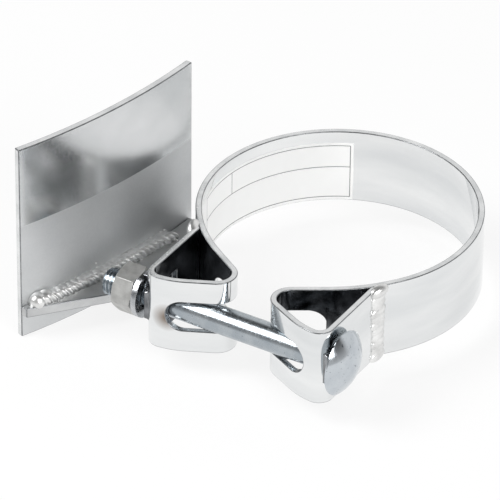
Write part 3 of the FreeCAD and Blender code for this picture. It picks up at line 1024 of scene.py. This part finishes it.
    def on_pad_shoulder_in_painted_shade(self, place: Vector) -> bool:
        """Whether a place lies where a pad wraps round its corner, beside head or washer, whose shade is
        painted on it.

        Args:
            place: The place in millimetres.

        Returns:
            True on the raised shoulder of either pad.
        """
        spot = self.folded(place)
        rise = (spot - self.seat_centre).length - self.seat_radius
        beside = -self.pad_wrap - self.pad_wrap_slope < direction(self.seat_centre, spot) < self.shoulder_turn
        return (beside and rise > self.shoulder_share * self.pad_rise
                and abs(place.z) < self.pad_foot + self.shoulder_margin)

    def build(self) -> None:
        """Models the strip."""
        start = self.flipped(self.ring_outside(self.middle_seat)) - Vector((0, 0, self.width / 2))
        strip = begin_at_point("strip", start)
        with Editing(strip):
            extrude(Vector((0, 0, self.width)))
        self.sweep(strip)
        self.mark_pads(strip)
        modify(strip, "SOLIDIFY", thickness=self.thickness * MM, offset=0.0, use_even_offset=True)
        self.press_pads(strip)
        self.seat_ends(strip)
        face_outwards(strip)
        carve(strip, self.slot_cutter(self.slot_ring_reach, 1))
        carve(strip, self.slot_cutter(self.slot_front_reach, -1))
        for side in (-1, 1):
            carve(strip, self.hole_cutter(side))
        merge(strip, distance=0.01)
        coat(strip, POLISHED_STRIP, SHEARED_EDGE, BURR_AND_PAINTED_EDGE_SHADE, PAINTED_SHADE_INSIDE)
        # The broken edges take the burr finish: a torn burr, coloured dark as a painted reflection of shade
        soften(strip, self.edge_break, finish=Layer.BREAK)
        coat_faces(strip, Layer.EDGE, lambda face: abs(face.normal.z) > ALONG)
        # Painted shade: the loops' inside faces, then the pads' shoulders beside head and washer, take the
        # dark finish
        coat_faces(strip, Layer.INSIDE, lambda face: self.faces_inside(face.center / MM, face.normal))
        coat_faces(strip, Layer.INSIDE, lambda face: self.on_pad_shoulder_in_painted_shade(face.center / MM), over=True)
        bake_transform(strip)
        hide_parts("band_left", "band_right")
        log.info("strip bends between both sides, %d faces", len(strip.data.polygons))


@dataclass
class SizeLabel:
    """The bare paper label inside the ring. Lengths in millimetres."""

    strip: Strip
    thickness: float = 0.08
    height: float = 29.0
    rise: float = 0.3
    first: float = 114.8
    last: float = 220.0
    facets: int = 72

    def build(self) -> None:
        """Models the label as a thin curved sheet."""
        radius = self.strip.ring_bore / 2 - self.thickness / 2
        foot = polar(self.strip.origin, radius, self.first)
        foot += Vector((0, 0, self.rise - self.strip.width / 2))
        label = begin_at_point("label", foot)
        with Editing(label):
            extrude(Vector((0, 0, self.height)))
            bpy.ops.mesh.select_all(action="SELECT")
            spin(self.strip.origin, self.last - self.first, self.facets)
        modify(label, "SOLIDIFY", thickness=self.thickness * MM, offset=0.0)
        face_outwards(label)
        smooth(label)
        coat(label, LABEL_PAPER)
        stands_for(label, Body.BRACKET_SIDE, "paper", "size_label")


# The bracket

@dataclass
class Bracket:
    """The curved saddle plate and the flat gusset that carries it. Lengths in millimetres."""

    strip: Strip
    saddle_thickness: float = 3.0
    saddle_radius: float = 298.0
    saddle_chord: float = 100.0
    saddle_height: float = 93.5
    saddle_drop: float = 11.0
    saddle_far_x: float = 74.0
    saddle_turn: float = 13.9
    gusset_thickness: float = 4.5
    gusset_far_inset: float = 2.0
    nose_x: float = 95.0
    nose_y: float = 97.7
    front_x: float = 46.6
    far_y: float = 2.3
    seam: float = 0.05
    edge_break: float = 0.4
    saddle_facets: int = 24
    ease_facets: int = 8
    ring_facets: int = 12

    def __post_init__(self) -> None:
        """Finds the upright axis that the saddle curves about."""
        far = Vector((-self.saddle_far_x, 0, 0))
        run = polar(Vector((0, 0, 0)), 1, -90 - self.saddle_turn)
        half_angle = math.asin(self.saddle_chord / 2 / self.saddle_radius)
        inwards = Vector((run.y, -run.x, 0))
        self.centre = (far + run * (self.saddle_chord / 2)
                       + inwards * (self.saddle_radius * math.cos(half_angle)))
        self.first = direction(self.centre, far)
        self.last = self.first - 2 * math.degrees(half_angle)
        self.bottom = -self.strip.width / 2
        self.floor = self.bottom + self.gusset_thickness

    def build_saddle(self) -> None:
        """Models the saddle: an upright edge turned about the saddle's axis, then given its wall."""
        radius = self.saddle_radius - self.saddle_thickness / 2
        foot = polar(self.centre, radius, self.first) + Vector((0, 0, self.bottom - self.saddle_drop))
        saddle = begin_at_point("saddle", foot)
        with Editing(saddle):
            extrude(Vector((0, 0, self.saddle_height)))
            bpy.ops.mesh.select_all(action="SELECT")
            spin(self.centre, self.last - self.first, self.saddle_facets)
        modify(saddle, "SOLIDIFY", thickness=self.saddle_thickness * MM, offset=0.0)
        face_outwards(saddle)
        coat(saddle, SADDLE_PLATE, SHEARED_EDGE, BURR_AND_PAINTED_EDGE_SHADE)
        # The broken edges take the burr finish: a torn burr, coloured dark as a painted reflection of shade
        soften(saddle, self.edge_break, finish=Layer.BREAK)
        coat_faces(saddle, Layer.EDGE, self.on_saddle_edge)
        stands_for(saddle, Body.BRACKET_SIDE, "rolled_plate", "saddle_plate")

    def on_saddle_edge(self, face: Face) -> bool:
        """Whether a face of the saddle lies on its cut edge."""
        out = (face.center / MM - self.centre) * Vector((1, 1, 0))
        return abs(face.normal.dot(out.normalized())) < ACROSS

    def build_gusset(self) -> None:
        """Models the gusset: a sheet bridged from the ring's face to the saddle's, then given its wall."""
        strip = self.strip
        outer = strip.ring_radius + strip.thickness / 2 + self.seam
        ease = strip.ease_radius + strip.thickness / 2 + self.seam
        front = strip.ring_outside(self.front_x)
        ease_start = strip.ease_angle - 90
        far = math.degrees(-math.asin(self.far_y / outer))
        start = direction(strip.ease_centre, front)
        ring_side = arc_points(strip.ease_centre, ease, start, ease_start, self.ease_facets)
        ring_side += arc_points(strip.origin, outer, ease_start, far, self.ring_facets)[1:]
        ring_side = [Vector((-point.x, point.y, self.bottom)) for point in ring_side]
        face = self.saddle_radius + self.seam
        far_corner = self.first - math.degrees(self.gusset_far_inset / self.saddle_radius)
        # One point fewer along the arc, so that with the nose both sides have as many
        facets = self.ease_facets + self.ring_facets - 1
        saddle_side = [Vector((-self.nose_x, -self.nose_y, self.bottom))]
        saddle_side += [Vector((point.x, point.y, self.bottom))
                        for point in arc_points(self.centre, face, self.last, far_corner, facets)]
        gusset = trace("gusset", ring_side)
        other = trace("gusset_side", saddle_side)
        hold(gusset)
        other.select_set(True)
        bpy.ops.object.join()
        with Editing(gusset, "EDGE"):
            bpy.ops.mesh.bridge_edge_loops()
            bpy.ops.mesh.select_all(action="SELECT")
            extrude(Vector((0, 0, self.gusset_thickness)))
        face_outwards(gusset)
        coat(gusset, ROLLED_PLATE, SAWN_EDGE, BURR_AND_PAINTED_EDGE_SHADE)
        # The broken edges take the burr finish: a torn burr, coloured dark as a painted reflection of shade
        soften(gusset, self.edge_break, finish=Layer.BREAK)
        coat_faces(gusset, Layer.EDGE, lambda face: abs(face.normal.z) < ACROSS)
        stands_for(gusset, Body.BRACKET_SIDE, "rolled_plate", "gusset_plate")


# The welds

@dataclass
class Bead:
    """A bead of overlapping coins of weld metal, fused into one skin. Lengths in millimetres."""

    name: str
    node: str
    body: Body
    half_sizes: Triple
    centre: Triple
    lean: float
    trim: Pair
    unevenness: float
    seed: int
    splay: float = 0.0
    arm: float = 0.0
    tilt: float = 0.0
    core_scale: Triple = (1.15, 2.6, 0.88)
    rounding: int = 4
    drops: tuple[Drop, ...] = ()
    skin: float = 0.24
    drift: float = 0.3

    def build(self, places: Sequence[Matrix]) -> None:
        """Models one coin, copies it along the bead and fuses the copies.

        Args:
            places: Where each coin goes: X away from the wall, Y along the bead, Z away from the floor.
        """
        coin = begin(self.name, bpy.ops.mesh.primitive_uv_sphere_add, segments=28, ring_count=14, radius=MM)
        shape = Matrix.Diagonal((*self.half_sizes, 1))
        for change in (shape, rotation(self.lean, "X"), rotation(self.tilt, "Y")):
            coin.data.transform(change)
        if self.splay:
            arms = [Matrix.Translation((hand * self.arm * MM, 0, 0)) @ rotation(hand * self.splay, "Z")
                    for hand in (-1, 1)]
            coin = copies(coin, [*arms, Matrix.Diagonal((*self.core_scale, 1))])
        shift(coin, Vector(self.centre))
        with Editing(coin):
            for axis, reach in zip(((1, 0, 0), (0, 0, 1)), self.trim):
                bpy.ops.mesh.select_all(action="SELECT")
                bpy.ops.mesh.bisect(plane_co=tuple(Vector(axis) * (-reach * MM)), plane_no=axis,
                                    use_fill=True, clear_inner=True)
        draw = random.Random(self.seed)
        uneven = []
        for place in places:
            grow = 1 + draw.uniform(-self.unevenness, self.unevenness)
            along = Matrix.Translation((0, draw.uniform(-self.drift, self.drift) * MM, 0))
            uneven.append(place @ along @ Matrix.Diagonal((grow, 1, grow, 1)))
        bead = copies(coin, uneven)
        for *spot, radius in self.drops:
            begin("drop", bpy.ops.mesh.primitive_uv_sphere_add, spot, radius=radius * MM)
            bead.select_set(True)
            bpy.context.view_layer.objects.active = bead
            bpy.ops.object.join()
        modify(bead, "REMESH", mode="VOXEL", voxel_size=self.skin * MM)
        modify(bead, "SMOOTH", factor=0.5, iterations=self.rounding)
        face_outwards(bead)
        hold(bead)
        bpy.ops.object.shade_smooth()
        coat(bead, WELD_METAL)
        stands_for(bead, self.body, "weld_metal", self.node)


@dataclass
class Welds:
    """Where each bead runs. Lengths in millimetres."""

    strip: Strip
    bracket: Bracket
    saddle_pitch: float = 2.9
    saddle_start: float = 10.0
    saddle_end: float = 18.0
    crater_length: float = 8.0
    crater_scale: Triple = (1.15, 1.0, 0.92)
    start_blobs: tuple[Drop, ...] = ((-94.1, -90.7, -12.4, 4.1), (-92.7, -87.2, -12.4, 4.0))
    saddle_spatter: tuple[Drop, ...] = ((-84.62, -59.74, -7.46, 0.55), (-69.0, -19.93, -13.0, 0.55))
    loop_pitch: float = 3.4
    loop_inset: float = 1.3
    loop_lift: float = 0.6
    lump_scale: Triple = (1.7, 1.0, 1.1)
    loop_spatter: tuple[Drop, ...] = ((41.92, -84.0, 6.27, 0.55),)
    seam_pitch: float = 2.2
    seam_inset: float = 4.0

    def build_saddle_bead(self) -> None:
        """The bead between gusset and saddle, heavier where it starts."""
        plate = self.bracket
        first = plate.last + math.degrees(self.saddle_start / plate.saddle_radius)
        last = plate.first - math.degrees(self.saddle_end / plate.saddle_radius)
        length = math.radians(last - first) * plate.saddle_radius
        count = round(length / self.saddle_pitch)
        places = []
        for number, turn in enumerate(spaced(first, last, count)):
            left = length * (1 - number / count)
            places.append(self.on_seam(turn, self.crater_scale if left < self.crater_length else (1, 1, 1)))
        bead = Bead("saddle_bead", "saddle_weld", Body.BRACKET_SIDE, half_sizes=(3.2, 1.25, 4.0),
                    centre=(1.3, 0, 0.1), lean=24, trim=(0.8, 0.8), unevenness=0.05, seed=11, splay=36,
                    arm=1.6, rounding=3, drops=self.start_blobs + self.saddle_spatter)
        bead.build(places)

    def on_seam(self, turn: float, scale: Triple) -> Matrix:
        """Where a coin goes on the seam between gusset and saddle.

        Args:
            turn: Direction from the saddle's axis, in degrees.
            scale: How much larger than the others the coin is.

        Returns:
            The coin's place, in metres.
        """
        plate = self.bracket
        spot = polar(plate.centre, plate.saddle_radius, turn) + Vector((0, 0, plate.floor))
        return Matrix.Translation(spot * MM) @ rotation(turn, "Z") @ Matrix.Diagonal((*scale, 1))

    def build_loop_bead(self, side: int) -> None:
        """The bead that closes one loop, in the corner of its seat wall and the ring.

        Args:
            side: 1 for the right loop, -1 for the left.
        """
        strip = self.strip
        corner = strip.ring_outside(strip.seat)
        low = self.bracket.floor + self.loop_lift if side < 0 else -strip.width / 2 + self.loop_inset
        top = strip.width / 2 - self.loop_inset
        count = round((top - low) / self.loop_pitch)
        # The coin's X stays across the seat wall, its Y goes up and its Z goes down the wall
        stand = Matrix(((side, 0, 0), (0, 0, -1), (0, 1, 0))).to_4x4()
        places = []
        for number, height in enumerate(spaced(low, top, count)):
            spot = Vector((side * corner.x, corner.y, height))
            lump = self.lump_scale if number == count else (1, 1, 1)
            places.append(Matrix.Translation(spot * MM) @ stand @ Matrix.Diagonal((*lump, 1)))
        name, node, body = (("loop_bead_right", "loop_weld_right", Body.FREE_SIDE) if side > 0 else
                            ("loop_bead_left", "loop_weld_left", Body.BRACKET_SIDE))
        bead = Bead(name, node, body, half_sizes=(1.55, 2.7, 4.5), centre=(0.55, 0, 2.0), lean=10,
                    trim=(0.8, 2.2), unevenness=0.09, seed=23 + side, tilt=-11,
                    drops=self.loop_spatter if side > 0 else ())
        bead.build(places)

    def build_seam_bead(self) -> None:
        """The flat bead under the seam between gusset and ring."""
        strip = self.strip
        outer = strip.ring_radius + strip.thickness / 2
        first = strip.ease_angle - 90 + self.seam_inset
        last = math.degrees(-math.asin(self.bracket.far_y / outer)) - self.seam_inset
        count = round(math.radians(last - first) * outer / self.seam_pitch)
        places = []
        for turn in spaced(first, last, count):
            spot = polar(strip.origin, outer, 180 - turn) + Vector((0, 0, self.bracket.bottom))
            places.append(Matrix.Translation(spot * MM) @ rotation(180 - turn, "Z") @ rotation(180, "X"))
        bead = Bead("seam_bead", "ring_seam_weld", Body.BRACKET_SIDE, half_sizes=(3.0, 1.6, 1.7),
                    centre=(0, 0, -0.4), lean=20, trim=(9.0, 0.6), unevenness=0.08, seed=31)
        bead.build(places)


# The bolt, lock washer and nut

@dataclass
class Fastening:
    """The bolt's parts, each turned about its own X axis and put on the bolt's line. In millimetres."""

    strip: Strip
    radius: float = 6.0
    pitch: float = 1.75
    root: float = 5.0
    thread_length: float = 30.0
    length: float = 114.0
    thread_foot: float = 0.44
    thread_crest: float = 0.07
    thread_sink: float = 0.1
    thread_gap: float = 0.4
    runout: float = 1.0
    tip: float = 0.6
    tip_chamfer: Pair = (1.2, 1.1)
    head_radius: float = 14.0
    head_height: float = 6.9
    head_rim: float = 1.0
    head_corner: tuple[Pair, ...] = ((0.0, 0.4), (0.15, 0.1), (0.4, 0.0), (0.7, 0.0))
    head_play: float = 0.4
    neck_side: float = 12.0
    neck_length: float = 6.0
    neck_corner: float = 0.9
    washer_play: float = 0.3
    washer_outer: float = 10.55
    washer_bore: float = 6.3
    washer_thickness: float = 2.5
    washer_lift: float = 1.3
    washer_split: float = 2.2
    washer_turn: float = 100.0
    washer_break: float = 0.28
    nut_flat: float = 9.5
    nut_height: float = 10.0
    nut_bore: float = 6.06
    nut_turn: float = 8.0
    nut_face_inset: float = 0.2
    nut_chamfer: float = 0.95
    nut_mouth: float = 0.75
    nut_break: float = 0.16
    nut_break_angle: float = 25.0
    cutter_room: float = 0.1
    cutter_past: float = 1.0
    facets: int = 64
    fine_facets: int = 96

    def build_bolt(self) -> None:
        """Models head, square neck, shank and a true helical thread, as one piece."""
        head = self.head_radius
        rise = self.head_height - self.head_rim
        dome = (head ** 2 + rise ** 2) / (2 * rise)
        centre = Vector((self.head_height - dome, 0, 0))
        start = direction(centre, Vector((self.head_rim, head, 0)))
        profile = outline((0, 0), *((along, head - inset) for along, inset in self.head_corner))
        profile += [Vector((p.x, max(p.y, 0.0), 0)) for p in arc_points(centre, dome, start, 0, 20)]
        bolt = lathe("bolt", profile, self.fine_facets)
        end, thread_start = -self.length, self.thread_length - self.length
        shank = lathe("shank", outline(
            (0, 0), (0, self.radius), (thread_start, self.radius), (thread_start - self.runout, self.root),
            (end + self.runout, self.root), (end, self.root - self.tip), (end, 0)), self.facets)
        neck = begin("neck", bpy.ops.mesh.primitive_cube_add, (-self.neck_length / 2, 0, 0), size=MM,
                     scale=(self.neck_length, self.neck_side, self.neck_side))
        modify(neck, "BEVEL", width=self.neck_corner * MM, segments=3, limit_method="ANGLE")
        thread = self.thread(thread_start)
        for part in (bolt, shank, neck):
            smooth(part)
        hold(bolt)
        for part in (shank, neck, thread):
            part.select_set(True)
        bpy.ops.object.join()
        # The head takes a paler copy of the zinc, which is painted light
        coat(bolt, ZINC_BOLT, ZINC_HEAD_PAINTED_LIGHTER)
        coat_faces(bolt, Layer.HEAD, lambda face: face.center.x > 0)
        shift(bolt, Vector((self.strip.seat + self.strip.pad_rise + self.head_play, self.strip.bolt_y, 0)))
        stands_for(bolt, Body.BOLT, "zinc_bolt", "carriage_bolt")

    def thread(self, start: float) -> Piece:
        """One ridge wound along the rod and trimmed to a chamfered blank.

        Args:
            start: Where the thread begins, under the head, along X.

        Returns:
            The ridge, closed at both ends.
        """
        end = -self.length
        low = end - self.pitch
        foot, crest = self.root - self.thread_sink, self.radius
        half_foot, half_crest = self.thread_foot * self.pitch, self.thread_crest * self.pitch
        ridge = trace("thread", outline((low - half_foot, foot), (low - half_crest, crest),
                                        (low + half_crest, crest), (low + half_foot, foot)), closed=True)
        modify(ridge, "SCREW", axis="X", screw_offset=self.pitch * MM, angle=math.tau, steps=48,
               render_steps=48, iterations=int(self.thread_length / self.pitch) + 2)
        merge(ridge)
        with Editing(ridge):
            bpy.ops.mesh.fill_holes(sides=4)
        face_outwards(ridge)
        along, inwards = self.tip_chamfer
        high, last = crest + self.cutter_room, start - self.thread_gap
        blank = lathe("blank", outline((end, 0), (end, crest - inwards), (end + along, high),
                                       (last, high), (last, 0)), self.facets)
        carve(ridge, blank, Cut.KEEP)
        smooth(ridge, angle=28)
        return ridge

    def build_washer(self) -> None:
        """Models the split spring washer: its section wound a little short of one turn."""
        near, far, deep = self.washer_bore, self.washer_outer, self.washer_thickness
        washer = trace("washer", outline((-deep, near), (0, near), (0, far), (-deep, far)), closed=True)
        wound = math.tau - self.washer_split / far
        modify(washer, "SCREW", axis="X", screw_offset=-self.washer_lift * MM, angle=-wound, steps=72,
               render_steps=72, iterations=1)
        with Editing(washer):
            bpy.ops.mesh.fill_holes(sides=4)
        face_outwards(washer)
        soften(washer, self.washer_break)
        washer.data.transform(rotation(self.washer_turn, "X"))
        seat = self.strip.seat + self.strip.pad_rise + self.washer_play
        shift(washer, Vector((-seat, self.strip.bolt_y, 0)))
        coat(washer, SPRING_STEEL)
        stands_for(washer, Body.WASHER, "spring_steel", "lock_washer")

    def build_nut(self) -> None:
        """Models the hexagon nut: a prism kept inside a chamfered turning, then bored."""
        tip = self.nut_flat / math.cos(math.radians(30))
        corners = [Vector((0, tip * math.cos(math.radians(60 * n)), tip * math.sin(math.radians(60 * n))))
                   for n in range(6)]
        end = -self.nut_height
        nut = prism("nut", corners, Vector((end, 0, 0)))
        face, high, drop = self.nut_flat - self.nut_face_inset, tip + self.cutter_room, self.nut_chamfer
        barrel = lathe("barrel", outline((0, 0), (0, face), (-drop, high), (end + drop, high), (end, face),
                                         (end, 0)), self.fine_facets)
        carve(nut, barrel, Cut.KEEP)
        mouth, past = self.nut_mouth, self.cutter_past
        wide = self.nut_bore + mouth + past
        bore = lathe("bore", outline((past, 0), (past, wide), (-mouth, self.nut_bore),
                                     (end + mouth, self.nut_bore), (end - past, wide), (end - past, 0)),
                     self.facets)
        carve(nut, bore)
        merge(nut, distance=0.005)
        soften(nut, self.nut_break, angle=self.nut_break_angle)
        nut.data.transform(rotation(self.nut_turn, "X"))
        washer_face = self.strip.seat + self.strip.pad_rise + self.washer_play
        seat = washer_face + self.washer_thickness + self.washer_lift
        shift(nut, Vector((-seat, self.strip.bolt_y, 0)))
        coat(nut, ZINC_NUT)
        stands_for(nut, Body.NUT, "zinc_nut", "hex_nut")


# The studio

@dataclass(frozen=True)
class Lamp:
    """A square soft lamp that faces the object. Millimetres and watts."""

    name: str
    spot: Triple
    size: float
    power: float

    def hang(self) -> None:
        """Adds the lamp to the scene."""
        data = bpy.data.lights.new(self.name, "AREA")
        data.size, data.energy = self.size * MM, self.power
        lamp = bpy.data.objects.new(self.name, data)
        lamp.location = Vector(self.spot) * MM
        lamp.rotation_mode = "QUATERNION"
        lamp.rotation_quaternion = (-Vector(self.spot)).to_track_quat("-Z", "Y")
        bpy.context.scene.collection.objects.link(lamp)


@dataclass
class Studio:
    """Camera, floor, walls and soft lamps. Lengths in millimetres, angles in degrees."""

    lens: float = 403.8
    sensor: float = 36.0
    azimuth: float = 31.2
    elevation: float = 33.9
    roll: float = 0.5
    distance: float = 2373.0
    aim: Triple = (0.0, 0.0, 17.5)
    aim_shift: Pair = (38.16, 18.35)
    floor_z: float = -29.0
    floor_size: float = 6000.0
    floor_lit_share: float = 0.15
    clip: Pair = (100.0, 20000.0)
    white: str = "ffffff"
    card: str = "f2f2f2"
    wall: str = "f4f4f4"
    wall_edge: Pair = (0.38, 0.62)
    room_low: str = "cdcdcd"
    room_high: str = "585858"
    room_heights: Pair = (0.02, 0.55)
    lamps: tuple[Lamp, ...] = (Lamp("key", (-900, -900, 1300), 900, 27),
                               Lamp("fill", (1400, -700, 900), 900, 18))

    def build_camera(self) -> None:
        """Puts the camera at the photograph's angle."""
        turn, lift, roll = (math.radians(v) for v in (self.azimuth, self.elevation, self.roll))
        right = Vector((math.cos(turn), math.sin(turn), 0))
        up = Vector((-math.sin(turn) * math.sin(lift), math.cos(turn) * math.sin(lift), math.cos(lift)))
        ahead = Vector((-math.sin(turn) * math.cos(lift), math.cos(turn) * math.cos(lift), -math.sin(lift)))
        across = right * math.cos(roll) + up * math.sin(roll)
        above = up * math.cos(roll) - right * math.sin(roll)
        spot = (Vector(self.aim) - across * self.aim_shift[0] - above * self.aim_shift[1]
                - ahead * self.distance)
        data = bpy.data.cameras.new("camera")
        data.lens, data.sensor_width = self.lens, self.sensor
        data.clip_start, data.clip_end = (reach * MM for reach in self.clip)
        camera = bpy.data.objects.new("camera", data)
        bpy.context.scene.collection.objects.link(camera)
        facing = Matrix((across, above, -ahead)).transposed().to_4x4()
        camera.matrix_world = Matrix.Translation(spot * MM) @ facing
        bpy.context.scene.camera = camera

    def build_floor(self) -> None:
        """Lays a plain white floor that the camera and the metal see as white, with a pale shadow."""
        floor = begin("floor", bpy.ops.mesh.primitive_plane_add, (0, 0, self.floor_z),
                      size=self.floor_size * MM)
        made = empty_material("white_card_floor")
        tree = made.node_tree
        tree.nodes.clear()
        card = add_node(tree, "BsdfDiffuse", {"Color": linear(self.card)})
        glow = add_node(tree, "Emission", {"Color": linear(self.white), "Strength": 1.0})
        path = add_node(tree, "LightPath")
        seen = calculate(tree, "MAXIMUM", path.outputs["Is Camera Ray"], path.outputs["Is Glossy Ray"])
        seen = calculate(tree, "MAXIMUM", seen, path.outputs["Is Transmission Ray"])
        share = calculate(tree, "MULTIPLY", seen, 1 - self.floor_lit_share)
        both = add_node(tree, "MixShader", {0: share, 1: card.outputs[0], 2: glow.outputs[0]})
        add_node(tree, "OutputMaterial", {0: both.outputs[0]})
        floor.data.materials.append(made)

    def build_world(self) -> None:
        """A studio with a white wall behind the object and a darker room in front of it.

        The camera sees plain white. The metal sees the wall and the room, which gives it its contrast.
        """
        world = bpy.data.worlds.new("studio")
        bpy.context.scene.world = world
        world.use_nodes = True
        tree = world.node_tree
        tree.nodes.clear()
        parts = coordinates(tree, "Generated")
        height = spread(tree, parts.outputs["Z"], self.room_heights, SHARE)
        room = blend_colours(tree, height, linear(self.room_low), linear(self.room_high))
        behind = spread(tree, parts.outputs["Y"], self.wall_edge, SHARE)
        walls = blend_colours(tree, behind, room, linear(self.wall))
        path = add_node(tree, "LightPath")
        seen = blend_colours(tree, path.outputs["Is Camera Ray"], walls, linear(self.white))
        sky = add_node(tree, "Background", {"Color": seen, "Strength": 1.0})
        add_node(tree, "OutputWorld", {0: sky.outputs[0]})

    def build(self) -> None:
        """Sets up the whole studio."""
        bpy.context.scene.view_settings.view_transform = "Standard"
        self.build_camera()
        self.build_floor()
        self.build_world()
        for lamp in self.lamps:
            lamp.hang()


def main() -> None:
    """Builds every piece, then the studio."""
    logging.basicConfig(level=logging.INFO, format="%(message)s")
    strip = Strip()
    bracket = Bracket(strip)
    strip.build()
    SizeLabel(strip).build()
    bracket.build_saddle()
    bracket.build_gusset()
    welds = Welds(strip, bracket)
    welds.build_saddle_bead()
    for side in (1, -1):
        welds.build_loop_bead(side)
    welds.build_seam_bead()
    fastening = Fastening(strip)
    fastening.build_bolt()
    fastening.build_washer()
    fastening.build_nut()
    Studio().build()


if __name__ == "__main__":
    main()
